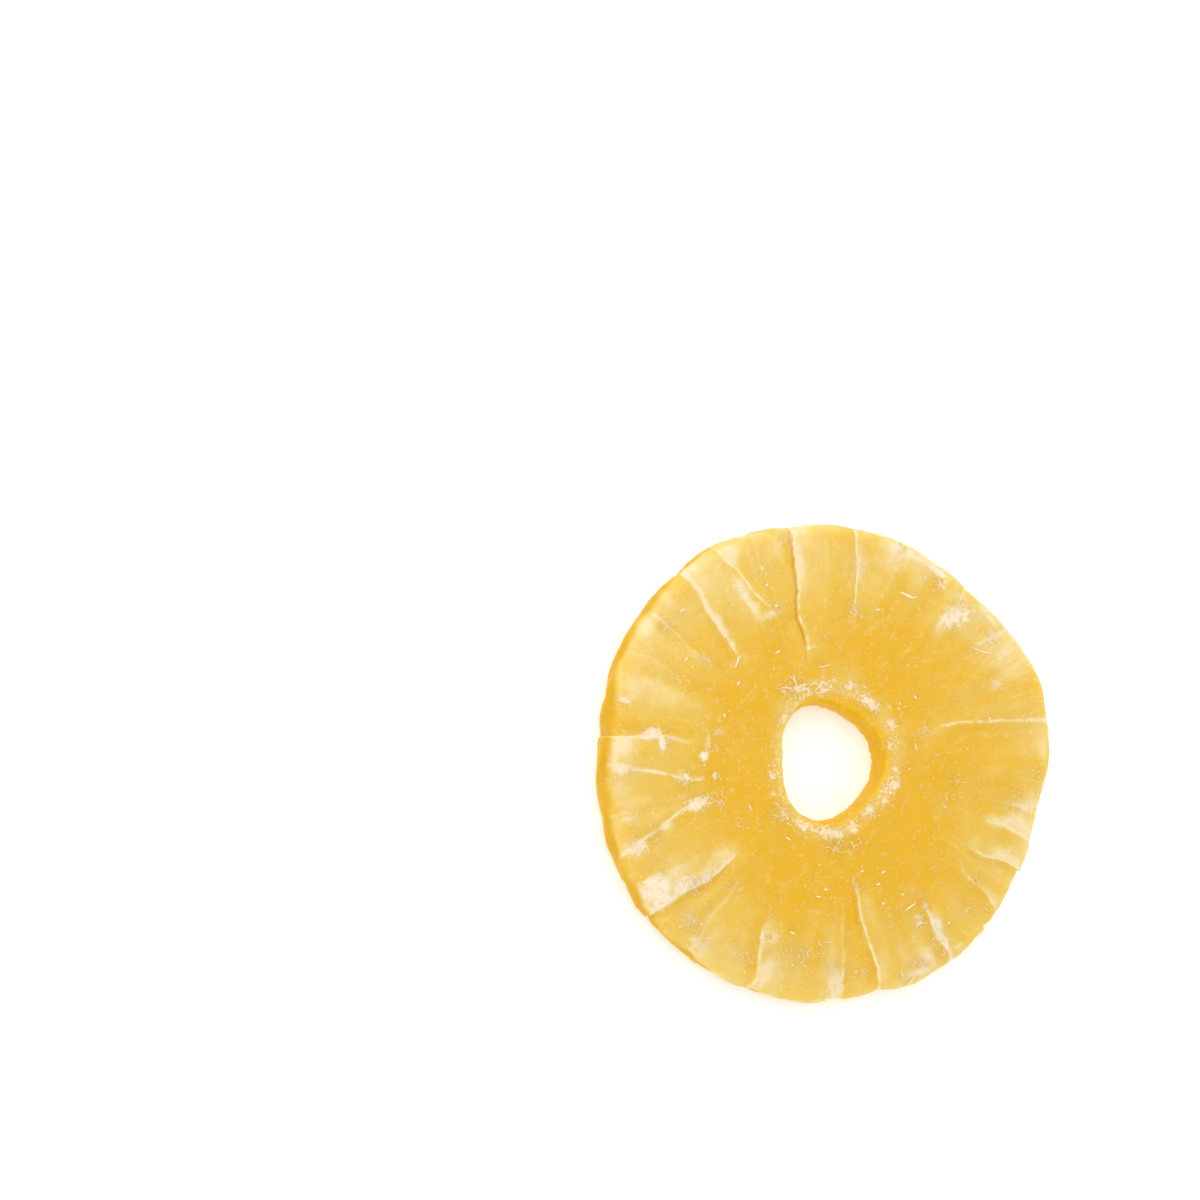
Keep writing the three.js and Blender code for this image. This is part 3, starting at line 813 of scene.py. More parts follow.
# %% The frosted ring round the mouth, and its clumps
RING_AT = 1.3  # how far the ring's middle is from the clear gold of the mouth,
RING_WIDTH = 1.5  # and half its width
RING_FROST = 0.4
RING_UNEVEN = 0.8
RING_PALER = 0.24
CLUMP_FROST = 0.8
CLUMP_ROUND = 1.5  # how much further a clump reaches round the hole than outward
CLUMP_PALER = 0.2
CLUMP_HALO = (1.4, 2)  # how much larger the paler flesh round it is, outward and round the hole
from_mouth = radius - inner_edge
mouth = np.exp(-(((from_mouth - gold_reach - RING_AT) / RING_WIDTH) ** 2))
frost = frost + RING_FROST * mouth * (1 + RING_UNEVEN * soft_lumps)
pale = pale + RING_PALER * mouth
for at, out, size, amount in CORE_FROST:
    frost = frost + CLUMP_FROST * amount * blob(at, out, size, size * CLUMP_ROUND)
    pale = pale + CLUMP_PALER * amount * blob(at, out, *(size * larger for larger in CLUMP_HALO))
print("frosted share of the face:", float((frost[:, :FACE_STEPS] > 0.4).mean().round(3)))

# %% The shoulder and the walls, and limits
SHOULDER_PALER = 0.05
SHOULDER_BAND = (3.5, 1)  # it grows paler between these distances in from the rim
CLEAREST = 0.2  # no flesh on the face is clearer than this
RIM_WALL_PALENESS = 0.1
MOUTH_PALENESS = 0.32
HOLE_WALL_PALENESS = 0
RIM_PAINTED_SHADE = 0.75  # how much painted shade darkens the rim's gold wall, on the same scale as a split
MOST_FROST = 1.5
pale = pale + SHOULDER_PALER * smoothstep(radius, *(rim - far_in for far_in in SHOULDER_BAND))
pale = np.maximum(pale, CLEAREST)
pale = lerp(pale, RIM_WALL_PALENESS, on_wall)
pale = lerp(pale, lerp(MOUTH_PALENESS, HOLE_WALL_PALENESS, in_hole), hole_wall)
pale = np.clip(pale, 0, 1)
frost = np.clip(frost * (1 - hole_wall) * (1 - on_wall), 0, MOST_FROST)
# Painted shade: deeper gold down in the splits and on the rim's gold wall
painted_shade = np.maximum(split_shade * (1 - on_wall), RIM_PAINTED_SHADE * on_wall)
print("paleness of the face on average:", float(pale[:, :FACE_STEPS].mean().round(3)))

# %% Move the points by the fine relief
SOFT_RELIEF = 0.07
SMALL_RELIEF = 0.03
STREAK_RELIEF = 0.04
RIM_RELIEF = 0.1
HOLE_RELIEF = 0.16  # the punch has torn the wall of the hole more than the knife tore the face,
HOLE_SMALL_RELIEF = 0.12
RAGGED_FOOT = 0.3  # and most of all at its foot,
FOOT_HEIGHTS = (0.6, 2.4)  # which ends between these heights
PIT_DEPTH = 0.05
PITS = (0.3, 0.6)  # where the small lumps are higher than this, there is a pit instead
FROST_THICK = 0.04
FROST_GRAINS = 0.16
relief = SOFT_RELIEF * soft_lumps + SMALL_RELIEF * small_lumps
relief = relief + STREAK_RELIEF * fibres * streaky * (on_face + on_under)
relief = relief + RIM_RELIEF * (lumps(points, 3, 6) + small_lumps) * on_rim
ragged_foot = RAGGED_FOOT * lumps(points, 0.9, 10) * (1 - smoothstep(height, *FOOT_HEIGHTS))
in_the_hole = HOLE_RELIEF * lumps(points, 2, 9) + HOLE_SMALL_RELIEF * small_lumps + ragged_foot
relief = relief + in_the_hole * in_hole
relief = relief - PIT_DEPTH * smoothstep(small_lumps, *PITS) * on_face
relief = relief + frost * (FROST_THICK + FROST_GRAINS * np.maximum(fine_lumps, 0))
points = points + normal * relief[..., None]
centre = ((points.min(axis=(0, 1)) + points.max(axis=(0, 1))) / 2)[:2]
points[..., :2] -= centre
points = np.clip(points, BOX_LOW, BOX_HIGH)
normal = grid_normals(points)
print("relief from", relief.min().round(2), "to", relief.max().round(2), "mm")

# %% [markdown]
# ## From points to a mesh
# The lines and the steps along them make a closed grid, like the skin of a ring doughnut, so each
# face is a quad between two lines. One helper turns points and faces in millimetres into a smooth
# shaded Blender object that rides on the slice's body, and stores numbers at its points for the
# materials to read.

# %% Make mesh objects
def mesh_object(name, places, faces, numbers, normals=None):
    mesh = bpy.data.meshes.new(name)
    mesh.from_pydata((places * MM).tolist(), [], faces)
    mesh.shade_smooth()
    if normals is not None:
        mesh.normals_split_custom_set_from_vertices(normals.tolist())
    for label, values in numbers.items():
        kind = "FLOAT_VECTOR" if values.ndim == 2 else "FLOAT"
        field = "vector" if values.ndim == 2 else "value"
        attribute = mesh.attributes.new(label, kind, "POINT")
        attribute.data.foreach_set(field, values.astype(np.float32).ravel())
    made = bpy.data.objects.new(name, mesh)
    bpy.context.scene.collection.objects.link(made)
    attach(made, BODY)
    print(name, "has", len(mesh.polygons), "faces")
    return made


def ring_faces(line_count, step_count):
    line, step = np.meshgrid(np.arange(line_count), np.arange(step_count), indexing="ij")
    next_line = (line + 1) % line_count
    next_step = (step + 1) % step_count
    corners = [(line, step), (line, next_step), (next_line, next_step), (next_line, step)]
    return np.stack([a * step_count + b for a, b in corners], axis=-1).reshape(-1, 4).tolist()


# %% The slice
run = fibre_run(radius, angle, 0.9, 7)
faces = ring_faces(*radius.shape)
flesh = mesh_object(
    "candied_slice",
    points.reshape(-1, 3),
    faces,
    {
        "pale": pale.ravel(),
        "frost": frost.ravel(),
        "painted_shade": painted_shade.ravel(),
        "streaky": streaky.ravel(),
        "fibre_run": run.reshape(-1, 3),
    },
)
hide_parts(NODE)

# %% [markdown]
# ## Colours and nodes
# Colours are written as sRGB hex values, as any paint program shows them, and one function turns
# them into the linear values that Blender mixes. One small function adds a node.

# %% Helpers for materials
def colour(hex_value):
    channels = [int(hex_value[i:i + 2], 16) / 255 for i in (1, 3, 5)]
    linear = [c / 12.92 if c <= 0.04045 else ((c + 0.055) / 1.055) ** 2.4 for c in channels]
    return (*linear, 1)


def add(tree, kind, inputs=None, **settings):
    """Adds a node. As an input, a socket is linked, and so is a node by its first output, and
    anything else is set as the input's value."""
    made = tree.nodes.new(kind)
    for name, value in settings.items():
        setattr(made, name, value)
    for name, value in (inputs or {}).items():
        if isinstance(value, bpy.types.Node):
            value = value.outputs[0]
        if isinstance(value, bpy.types.NodeSocket):
            tree.links.new(value, made.inputs[name])
        else:
            made.inputs[name].default_value = value
    return made


def new_material(name):
    made = bpy.data.materials.new(name)
    made.use_nodes = True
    made.node_tree.nodes.clear()
    return made, made.node_tree


def per_mm(size):
    """The scale of a noise in object space whose lumps are this many millimetres apart."""
    return 1 / (size * MM)


print("white is", colour("#FFFFFF"), "and a noise 2 mm apart has the scale", per_mm(2))

# %% [markdown]
# ## Candied pineapple flesh
# The real material is fruit cell walls full of dried syrup. Light goes a few millimetres into it
# and comes back gold, so it needs subsurface scattering, with red going furthest and blue hardly
# at all. Its surface is slightly moist: satin, with a refractive index near that of sugar syrup,
# about 1.49. One ramp runs from deep clear gold to dry cream, because that is what happens to the
# real flesh as sugar sets in it, and dull white frost comes on top of it. Each noise has the size
# of what it stands for: mottling about 2.4 mm across, threads about 2 mm apart, and frost whose
# curls lie 1.4 mm apart, a little coarser than the real ones, to show.

# %% The colours of the flesh, and its inputs
FLESH_COLOURS = [  # how pale it is, and its colour
    (0, "#EBBA00"),  # thick and clear, as on the wall of the hole
    (0.28, "#EBBC38"),  # clear
    (0.6, "#ECCA66"),
    (0.85, "#F1D994"),  # milky
    (1, "#F7E3B9"),  # dry
]
PULLED = "#F8DC98"  # fibres that lie loose in the surface
FROST = "#FFEBD2"  # sugar on the surface
PAINTED_SHADE_GOLD = "#D9A520"  # painted shade: deeper gold down in a split and on the rim's wall
SYRUP_IOR = 1.49

flesh_material, tree = new_material("candied_pineapple_flesh")
place = add(tree, "ShaderNodeTexCoord").outputs["Object"]
how_pale = add(tree, "ShaderNodeAttribute", attribute_name="pale").outputs["Fac"]
how_frosted = add(tree, "ShaderNodeAttribute", attribute_name="frost").outputs["Fac"]
painted_shade_share = add(tree, "ShaderNodeAttribute", attribute_name="painted_shade").outputs["Fac"]
how_streaky = add(tree, "ShaderNodeAttribute", attribute_name="streaky").outputs["Fac"]
fibre_place = add(tree, "ShaderNodeAttribute", attribute_name="fibre_run").outputs["Vector"]
print("the flesh has", len(FLESH_COLOURS), "colours from clear to dry")


# %% Clear to cream: the paleness of the mesh, varied by soft mottling and by streaks
MOTTLE_SHOWS = 0.44
STREAKS_SHOW = 0.5
mottling = {"Vector": place, "Scale": per_mm(2.4), "Detail": 6, "Roughness": 0.62}
mottle = add(tree, "ShaderNodeTexNoise", mottling)
mottle_swing = add(tree, "ShaderNodeMath", {0: mottle, 1: 0.5}, operation="SUBTRACT")
mottled = {0: mottle_swing, 1: MOTTLE_SHOWS, 2: how_pale}
mottled = add(tree, "ShaderNodeMath", mottled, operation="MULTIPLY_ADD")
streaking = {"Vector": fibre_place, "Scale": 1, "Detail": 3, "Distortion": 0.5}
streaks = add(tree, "ShaderNodeTexNoise", streaking)
streak_swing = add(tree, "ShaderNodeMath", {0: streaks, 1: 0.5}, operation="SUBTRACT")
streaks_here = add(tree, "ShaderNodeMath", {0: streak_swing, 1: how_streaky}, operation="MULTIPLY")
paleness = {0: streaks_here, 1: STREAKS_SHOW, 2: mottled}
paleness = add(tree, "ShaderNodeMath", paleness, operation="MULTIPLY_ADD")
ramp = add(tree, "ShaderNodeValToRGB", {"Fac": paleness})
for at, _ in FLESH_COLOURS[1:-1]:
    ramp.color_ramp.elements.new(at)
for element, (at, hex_value) in zip(ramp.color_ramp.elements, FLESH_COLOURS):
    element.position = at
    element.color = colour(hex_value)
print("the ramp has", len(ramp.color_ramp.elements), "stops")

# %% Loose fibres too fine to model: curved strokes, where a noise passes its middle value
STROKE_WIDTH = 0.035  # as a share of the noise's range
STROKES_SHOW = 0.4
winding = {"Vector": place, "Scale": per_mm(2.2), "Detail": 2, "Distortion": 0.7}
winding = add(tree, "ShaderNodeTexNoise", winding)
off_stroke = add(tree, "ShaderNodeMath", {0: winding, 1: 0.5}, operation="SUBTRACT")
off_stroke = add(tree, "ShaderNodeMath", {0: off_stroke}, operation="ABSOLUTE")
long_strokes = {
    "Value": off_stroke,
    "From Min": 0.2 * STROKE_WIDTH,
    "From Max": STROKE_WIDTH,
    "To Min": 1,
    "To Max": 0,
}
long_strokes = add(tree, "ShaderNodeMapRange", long_strokes, interpolation_type="SMOOTHSTEP")
breaking = add(tree, "ShaderNodeTexNoise", {"Vector": place, "Scale": per_mm(0.6 * 2.2)})
unbroken = {"Value": breaking, "From Min": 0.53, "From Max": 0.65}
unbroken = add(tree, "ShaderNodeMapRange", unbroken, interpolation_type="SMOOTHSTEP")
short_strokes = add(tree, "ShaderNodeMath", {0: long_strokes, 1: unbroken}, operation="MULTIPLY")
print("strokes take up about", 2 * STROKE_WIDTH, "of the noise's range")

# %% Specks, which with the strokes are drawn over the flesh
dotting = add(tree, "ShaderNodeTexNoise", {"Vector": place, "Scale": per_mm(0.7), "Detail": 1})
specks = {"Value": dotting, "From Min": 0.62, "From Max": 0.74, "To Max": 0.8}
specks = add(tree, "ShaderNodeMapRange", specks, interpolation_type="SMOOTHSTEP")
strokes = add(tree, "ShaderNodeMath", {0: short_strokes, 1: specks}, operation="MAXIMUM")
faint = add(tree, "ShaderNodeMath", {0: strokes, 1: STROKES_SHOW}, operation="MULTIPLY")
threaded = {"Factor": faint, 6: ramp, 7: colour(PULLED)}
threaded = add(tree, "ShaderNodeMix", threaded, data_type="RGBA").outputs[2]
print("with threads the flesh has", len(tree.nodes), "nodes")

# %% Frost: a tangle of curls over a millimetre apart, which closes up where there is more of it
CURL_FALL = -5  # how fast the frost thins to the sides of a curl
GRAINS_SHOW = 0.7
MOST_COVER = 0.9
tangle = {"Vector": place, "Scale": per_mm(1.4), "Detail": 2, "Distortion": 1.2}
tangle = add(tree, "ShaderNodeTexNoise", tangle)
off_curl = add(tree, "ShaderNodeMath", {0: tangle, 1: 0.5}, operation="SUBTRACT")
off_curl = add(tree, "ShaderNodeMath", {0: off_curl}, operation="ABSOLUTE")
grains = add(tree, "ShaderNodeTexNoise", {"Vector": place, "Scale": per_mm(0.7), "Detail": 3})
grained = {0: grains, 1: GRAINS_SHOW, 2: how_frosted}
grained = add(tree, "ShaderNodeMath", grained, operation="MULTIPLY_ADD")
curled = {0: off_curl, 1: CURL_FALL, 2: grained}
curled = add(tree, "ShaderNodeMath", curled, operation="MULTIPLY_ADD")
frost_cover = {"Value": curled, "From Min": 0.3, "From Max": 1.05, "To Max": MOST_COVER}
frost_cover = add(tree, "ShaderNodeMapRange", frost_cover, interpolation_type="SMOOTHSTEP")
frosted = {"Factor": frost_cover, 6: threaded, 7: colour(FROST)}
frosted = add(tree, "ShaderNodeMix", frosted, data_type="RGBA").outputs[2]
# Painted shade: the deeper gold is mixed in down in the splits and on the rim's wall
shaded = {"Factor": painted_shade_share, 6: frosted, 7: colour(PAINTED_SHADE_GOLD)}
shaded = add(tree, "ShaderNodeMix", shaded, data_type="RGBA").outputs[2]
print("with frost the flesh has", len(tree.nodes), "nodes")

# %% Fine bump: the skin's grain, more of it in frost, and the strokes
STROKE_BUMP = 0.8
SKIN_BUMP = 0.4
grain = {"Vector": place, "Scale": per_mm(0.5), "Detail": 4, "Roughness": 0.6}
grain = add(tree, "ShaderNodeTexNoise", grain)
skin_bumps = add(tree, "ShaderNodeMath", {0: grain, 1: SKIN_BUMP}, operation="MULTIPLY")
skin_bumps = {0: frost_cover, 1: grain, 2: skin_bumps}
skin_bumps = add(tree, "ShaderNodeMath", skin_bumps, operation="MULTIPLY_ADD")
bumps = {0: strokes, 1: STROKE_BUMP, 2: skin_bumps}
bumps = add(tree, "ShaderNodeMath", bumps, operation="MULTIPLY_ADD")
bump = add(tree, "ShaderNodeBump", {"Height": bumps, "Strength": 0.5, "Distance": 0.08 * MM})
print("with bump the flesh has", len(tree.nodes), "nodes")

# %% Gloss and the light inside
FROST_ROUGHER = 0.4
LIGHT_INSIDE = 0.95  # nearly all light that comes back has been inside, but none where frost is
satin = {"Value": mottle, "From Min": 0.3, "From Max": 0.7, "To Min": 0.4, "To Max": 0.5}
satin = add(tree, "ShaderNodeMapRange", satin, interpolation_type="SMOOTHSTEP")
roughness = {0: frost_cover, 1: FROST_ROUGHER, 2: satin}
roughness = add(tree, "ShaderNodeMath", roughness, operation="MULTIPLY_ADD")
inside = {0: frost_cover, 1: -LIGHT_INSIDE, 2: LIGHT_INSIDE}
inside = add(tree, "ShaderNodeMath", inside, operation="MULTIPLY_ADD")
surface = add(
    tree,
    "ShaderNodeBsdfPrincipled",
    {
        "Base Color": shaded,
        "Roughness": roughness,
        "IOR": SYRUP_IOR,
        "Specular IOR Level": 0.1,  # its fine wrinkles trap part of the gloss
        "Normal": bump,
        "Subsurface Weight": inside,
        "Subsurface Radius": (1.0, 0.85, 0.3),  # red light goes furthest, and blue hardly at all
        "Subsurface Scale": 3 * MM,
    },
)
add(tree, "ShaderNodeOutputMaterial", {"Surface": surface})
flesh.data.materials.append(flesh_material)
print("the flesh has", len(tree.nodes), "nodes")

# %% [markdown]
# ## Loose fibres
# The knife and the drying have pulled fine fibres out of the flesh. They lie on it as short pale
# curls, thickest round the hole, and fringe the lips of the clefts. They are real geometry, laid
# on the surface by rays cast down on it, because hairs drawn in a texture have no edge of light
# and disappear when the slice is seen from low down. Some are strewn by chance, and most lie in
# tufts, where the real slice has them. All of them are joined in one mesh.

# %% Places on the face, drawn by chance
chance = np.random.default_rng(65)
skin = BVHTree.FromPolygons(points.reshape(-1, 3).tolist(), faces)
HIGH_ABOVE = 30  # rays start here, in mm
NO_HIT = -9.0  # a height under the floor, for rays that miss


def drop(x, y):
    """The height of the face under each place, and NO_HIT where there is none."""
    heights = []
    for across, along in zip(x.ravel(), y.ravel()):
        hit = skin.ray_cast(Vector((across, along, HIGH_ABOVE)), Vector((0, 0, -1)))[0]
        heights.append(NO_HIT if hit is None else hit.z)
    return np.array(heights).reshape(x.shape)


def places_on_face(count, likely):
    """Picks points of the face's mesh by how likely each is and how much room it has."""
    long_way = np.abs(np.gradient(radius, axis=1))
    round_way = radius * np.abs(np.gradient(np.unwrap(angle, period=FULL_TURN, axis=0), axis=0))
    weight = np.clip(likely * long_way * round_way * (on_face > 0.5), 0, None).ravel()
    picked = chance.choice(weight.size, count, p=weight / weight.sum())
    return points.reshape(-1, 3)[picked], picked


print("a ray falls on the face at", drop(np.array([[0.0]]), np.array([[25.0]])).round(2), "mm")

# %% One helper that makes round or flat strands along paths
STRAND_SIDES = 4
SIDE_LEAN = 0.35  # how far the normals of its sides lean from straight up


def strands(paths, wide, thick):
    """Points, faces and normals of closed strands. paths: count x steps x 3. wide, thick: half
    their sizes. Light goes through thin fibre, so its sides are nearly as light as its top, and
    its normals lean only a little from straight up."""
    count, step_count = paths.shape[:2]
    ahead = np.gradient(paths, axis=1)
    ahead = ahead / np.linalg.norm(ahead, axis=-1, keepdims=True)
    aside = np.cross([0, 0, 1], ahead)
    aside = aside / np.linalg.norm(aside, axis=-1, keepdims=True)
    over = np.cross(ahead, aside)
    turn = FULL_TURN * np.arange(STRAND_SIDES)[:, None] / STRAND_SIDES
    sideways = cosine(turn) * (aside * wide[..., None])[:, :, None]
    upwards = sine(turn) * (over * thick)[:, :, None]
    places = (paths[:, :, None] + sideways + upwards).reshape(-1, 3)
    normals = SIDE_LEAN * (cosine(turn) * aside[:, :, None] + sine(turn) * over[:, :, None]) + (0, 0, 1)
    first = STRAND_SIDES * step_count * np.arange(count)[:, None, None]
    step = STRAND_SIDES * np.arange(step_count - 1)[:, None]
    side = np.arange(STRAND_SIDES)
    after = (side + 1) % STRAND_SIDES
    rows = [step + side, step + after, step + STRAND_SIDES + after, step + STRAND_SIDES + side]
    quads = np.stack([first + row for row in rows], axis=-1).reshape(-1, 4)
    ends = np.stack([side[::-1], STRAND_SIDES * (step_count - 1) + side])
    caps = (first + ends).reshape(-1, STRAND_SIDES)
    return places, np.vstack([quads, caps]).tolist(), normals.reshape(-1, 3)


straight = np.linspace((0, 0, 0), (1, 0, 0), 3)[None]
print("a strand of 3 steps has", len(strands(straight, np.full((1, 3), 0.1), 0.1)[1]), "faces")

# %% Strands laid on the face
FIBRE_STEPS = 8
DEEPEST_FALL = 0.3  # how far a strand hangs down over an edge of the slice, at most
TIP_SHARE = 0.35  # how wide its tips would be against its middle,
BLUNT = 0.08  # if they weren't cut off this share of its length early

along = np.linspace(0, 1, FIBRE_STEPS)
taper = TIP_SHARE + (1 - TIP_SHARE) * np.sin(math.pi * (BLUNT + (1 - 2 * BLUNT) * along))
print("the tips of a strand are", taper[0].round(2), "as wide as its middle")


def lay(start_x, start_y, length, pointing, arch, thick, flat=1.0):
    """Strands laid on the face. pointing: their direction at each step. flat: width to thickness.
    Gives their points, faces and normals, and which of them are kept: one that misses isn't."""
    x = start_x + np.cumsum(cosine(pointing), axis=1) * length / FIBRE_STEPS
    y = start_y + np.cumsum(sine(pointing), axis=1) * length / FIBRE_STEPS
    z = drop(x, y)
    kept = z.max(axis=1) > NO_HIT
    z = np.maximum(z, z.max(axis=1, keepdims=True) - DEEPEST_FALL)
    z = z + arch * np.sin(math.pi * along)
    paths = np.stack([x, y, z], axis=-1)[kept]
    places, strand_faces, leans = strands(paths, (thick * flat * taper)[kept], thick)
    return np.clip(places, BOX_LOW, BOX_HIGH), strand_faces, leans, kept


# %% The tufts
TUFTS = [  # where fibres lie together: direction, distance, how many, how far apart
    (12, 35, 10, 0.5),
    (16, 17, 12, 0.6),
    (14, 10.2, 12, 0.5),
    (24, 31.5, 14, 0.5),
    (30, 12, 14, 0.5),
    (36.5, 35.5, 14, 0.7),
    (42, 37, 12, 0.8),
    (47, 35, 22, 1.4),
    (47, 32, 14, 0.8),
    (50, 11.6, 14, 0.5),
    (57, 35.6, 16, 0.7),
    (58, 12, 14, 0.6),
    (61.5, 35.8, 10, 0.5),
    (70, 37, 24, 1.8),
    (74, 13, 18, 0.6),
    (81, 25, 22, 0.7),
    (80, 33, 10, 1),
    (93, 20, 8, 0.5),
    (97, 11.8, 16, 0.7),
    (102, 37.3, 16, 0.7),
    (111.6, 26.3, 12, 0.5),
    (111, 32, 10, 0.9),
    (118, 13.4, 26, 1),
    (126, 14, 12, 0.5),
    (142.5, 35, 22, 0.8),
    (144.5, 26, 12, 0.8),
    (154, 29.5, 8, 0.5),
    (165.7, 35.9, 12, 0.4),
    (168, 20, 14, 0.6),
    (173, 30.2, 16, 0.6),
    (175.5, 28, 14, 0.8),
    (177, 21.6, 14, 0.9),
    (183.7, 34.3, 18, 0.7),
    (186, 37, 16, 1),
    (188.5, 25.8, 14, 0.6),
    (189.5, 20.2, 14, 0.6),
    (196.5, 35, 12, 0.7),
    (199, 23.5, 26, 0.8),
    (201, 20.6, 16, 0.8),
    (203, 32, 14, 0.9),
    (204.5, 36, 16, 0.7),
    (214, 19, 10, 0.7),
    (220, 31.5, 22, 0.9),
    (221, 13.6, 10, 0.6),
    (227.5, 35.6, 34, 1.1),
    (228, 12.5, 20, 0.7),
    (231, 27, 12, 0.7),
    (234, 37.3, 26, 1),
    (244, 35, 16, 1.3),
    (250.3, 31, 26, 0.8),
    (255, 33.5, 24, 1.5),
    (260.5, 32, 24, 0.9),
    (266, 31, 18, 1.2),
    (267, 12.4, 26, 0.7),
    (270, 34, 18, 1.2),
    (272, 14.5, 20, 1),
    (275, 12.6, 20, 0.7),
    (279, 35, 12, 0.9),
    (281, 20.5, 18, 0.9),
    (285, 14.8, 16, 0.9),
    (288.5, 37.5, 16, 0.7),
    (295, 36.7, 34, 1.3),
    (299.5, 30.3, 26, 0.7),
    (303, 33, 22, 0.9),
    (304, 28.3, 10, 0.4),
    (301, 36.5, 18, 0.9),
    (310, 10.8, 12, 0.6),
    (312.7, 33.8, 8, 0.4),
    (318, 35.5, 10, 0.9),
    (323, 31.5, 12, 1),
    (340, 11.8, 14, 0.7),
    (342, 20.5, 14, 1.2),
    (348, 33, 20, 1),
    (352, 22, 10, 0.7),
    (357, 36, 16, 1.3),
]
in_tufts = sum(row[2] for row in TUFTS)
print(in_tufts, "fibres lie in", len(TUFTS), "tufts")

# %% Where the fibres lie
FIBRE_COUNT = 900  # those that are strewn by chance
ANYWHERE = 0.12  # how likely they are on any flesh,
AT_MOUTH = 1.6  # and how much more round the mouth,
IN_FROST = 1.5  # in frost
IF_PALE = 0.4  # and on pale flesh
TUFT_SPREAD = 0.7
likely = (ANYWHERE + AT_MOUTH * mouth + IN_FROST * frost + IF_PALE * pale) * (1 - hole_wall)
starts, picked = places_on_face(FIBRE_COUNT, likely)
tuft_at, tuft_out, in_tuft, apart = np.transpose(TUFTS)
owner = np.repeat(np.arange(len(TUFTS)), in_tuft.astype(int))
strewn = chance.normal(0, 1, (in_tufts, 2)) * apart[owner][:, None] * TUFT_SPREAD
tuft_x = tuft_out[owner] * cosine(tuft_at[owner]) - centre[0] + strewn[:, 0]
tuft_y = tuft_out[owner] * sine(tuft_at[owner]) - centre[1] + strewn[:, 1]
start_x = np.concatenate([starts[:, 0], tuft_x])[:, None]
start_y = np.concatenate([starts[:, 1], tuft_y])[:, None]
print(len(start_x), "fibres in all")

# %% How they curl
FIBRE_LENGTH = (0.4, 1.7)
FIBRE_THICK = 0.025  # half of it, in mm
FIBRE_FLAT = (1.2, 2.6)  # how much wider than thick
FIBRE_CURL = 160  # degrees that a fibre turns from end to end, at most
FIBRE_ARCH = 0.06  # how high its middle stands off the flesh, at most
STREWN_DRYNESS = 0.35
FROST_DRYNESS = 0.3
TUFT_DRYNESS = (0.1, 0.9)
one_each = start_x.shape
curl = chance.normal(0, FIBRE_CURL / 2, one_each)
hook = chance.normal(0, FIBRE_CURL / 2, one_each)
pointing = chance.uniform(0, FULL_TURN, one_each) + curl * along + hook * along ** 3
length = FIBRE_LENGTH[0] + (FIBRE_LENGTH[1] - FIBRE_LENGTH[0]) * chance.random(one_each) ** 2
arch = FIBRE_ARCH * chance.random(one_each) ** 2
flat = chance.uniform(*FIBRE_FLAT, one_each)
*laid, leans, kept = lay(start_x, start_y, length, pointing, arch, FIBRE_THICK, flat)
dry_here = FROST_DRYNESS * (frost + 0.3 * mouth).ravel()[picked]
dryness = STREWN_DRYNESS * chance.random(FIBRE_COUNT) ** 2 + dry_here
dryness = np.concatenate([dryness, chance.uniform(*TUFT_DRYNESS, in_tufts)])
dryness = np.repeat(dryness[kept], FIBRE_STEPS * STRAND_SIDES)
fibres_made = mesh_object("loose_fibres", *laid, {"dry": dryness}, leans)

# %% [markdown]
# ## Flakes and fringes
# Larger shreds of flesh have dried where the knife tore it. Some lie curled on the face, and on
# the driest lips they stand side by side like the teeth of a comb, pointing over the split. Each
# is a flat strand, so the same helper makes them.

# %% The flakes
def flake(at, out, long, towards, curl, wide=0.16):
    """at, out: where it starts. towards: the way it points, turned from outward. curl: how far it
    turns from end to end. wide: half its width."""
    return at, out, long, towards, curl, wide


FLAKES = [
    flake(67, 30.5, 2.8, -95, 8, 0.2),
    flake(64, 30.2, 2, -75, 25, 0.12),
    flake(38, 34.1, 2.7, -62, -25, 0.1),
    flake(32, 34.3, 4.5, 148, -25, 0.1),
    flake(12, 14.7, 1.4, -92, 0, 0.1),
    flake(37, 18, 0.8, -90, 0),
    flake(72.6, 26, 0.8, -90, 60),
    flake(98, 11.4, 1.1, -95, 0, 0.16),
    flake(99, 15.2, 2.2, -98, 25, 0.1),
    flake(111.7, 26.6, 0.7, -100, 40, 0.22),
    flake(111, 33, 0.6, -60, 0, 0.2),
    flake(111.7, 30.3, 0.5, -90, 0, 0.18),
    flake(115, 15.6, 2.6, 155, 30, 0.12),
    flake(119, 12.6, 2.4, -60, -60, 0.12),
    flake(119.5, 19.6, 0.9, -90, 0),
    flake(128, 14.4, 2, -110, -40, 0.12),
    flake(137.5, 34.6, 1, -80, -40, 0.14),
    flake(139.5, 22, 2.4, -85, 30, 0.14),
    flake(144.5, 20, 0.9, -90, 0),
    flake(161, 19.4, 0.8, -80, 0),
    flake(189.2, 25, 1.4, -80, 10, 0.18),
    flake(200, 10.8, 1.8, -92, 5, 0.12),
    flake(211.5, 16.2, 0.9, -90, 0, 0.14),
    flake(242, 15.1, 1, -95, 0, 0.14),
    flake(256.8, 29.2, 1.1, -110, 20, 0.14),
    flake(264.5, 22.5, 0.9, -90, 0, 0.12),
    flake(286.5, 18.8, 0.8, -90, 0),
    flake(290.8, 24.8, 0.7, -85, 0),
    flake(291.8, 21.7, 0.8, -95, 0),
    flake(293, 37.8, 2.4, -70, 10, 0.12),
    flake(296.3, 20.2, 0.8, -90, 0),
    flake(300.5, 30.6, 1.4, -120, 60, 0.14),
    flake(301.8, 27.3, 2.5, -95, 12, 0.14),
    flake(311, 10.4, 1.7, -92, 8, 0.12),
]
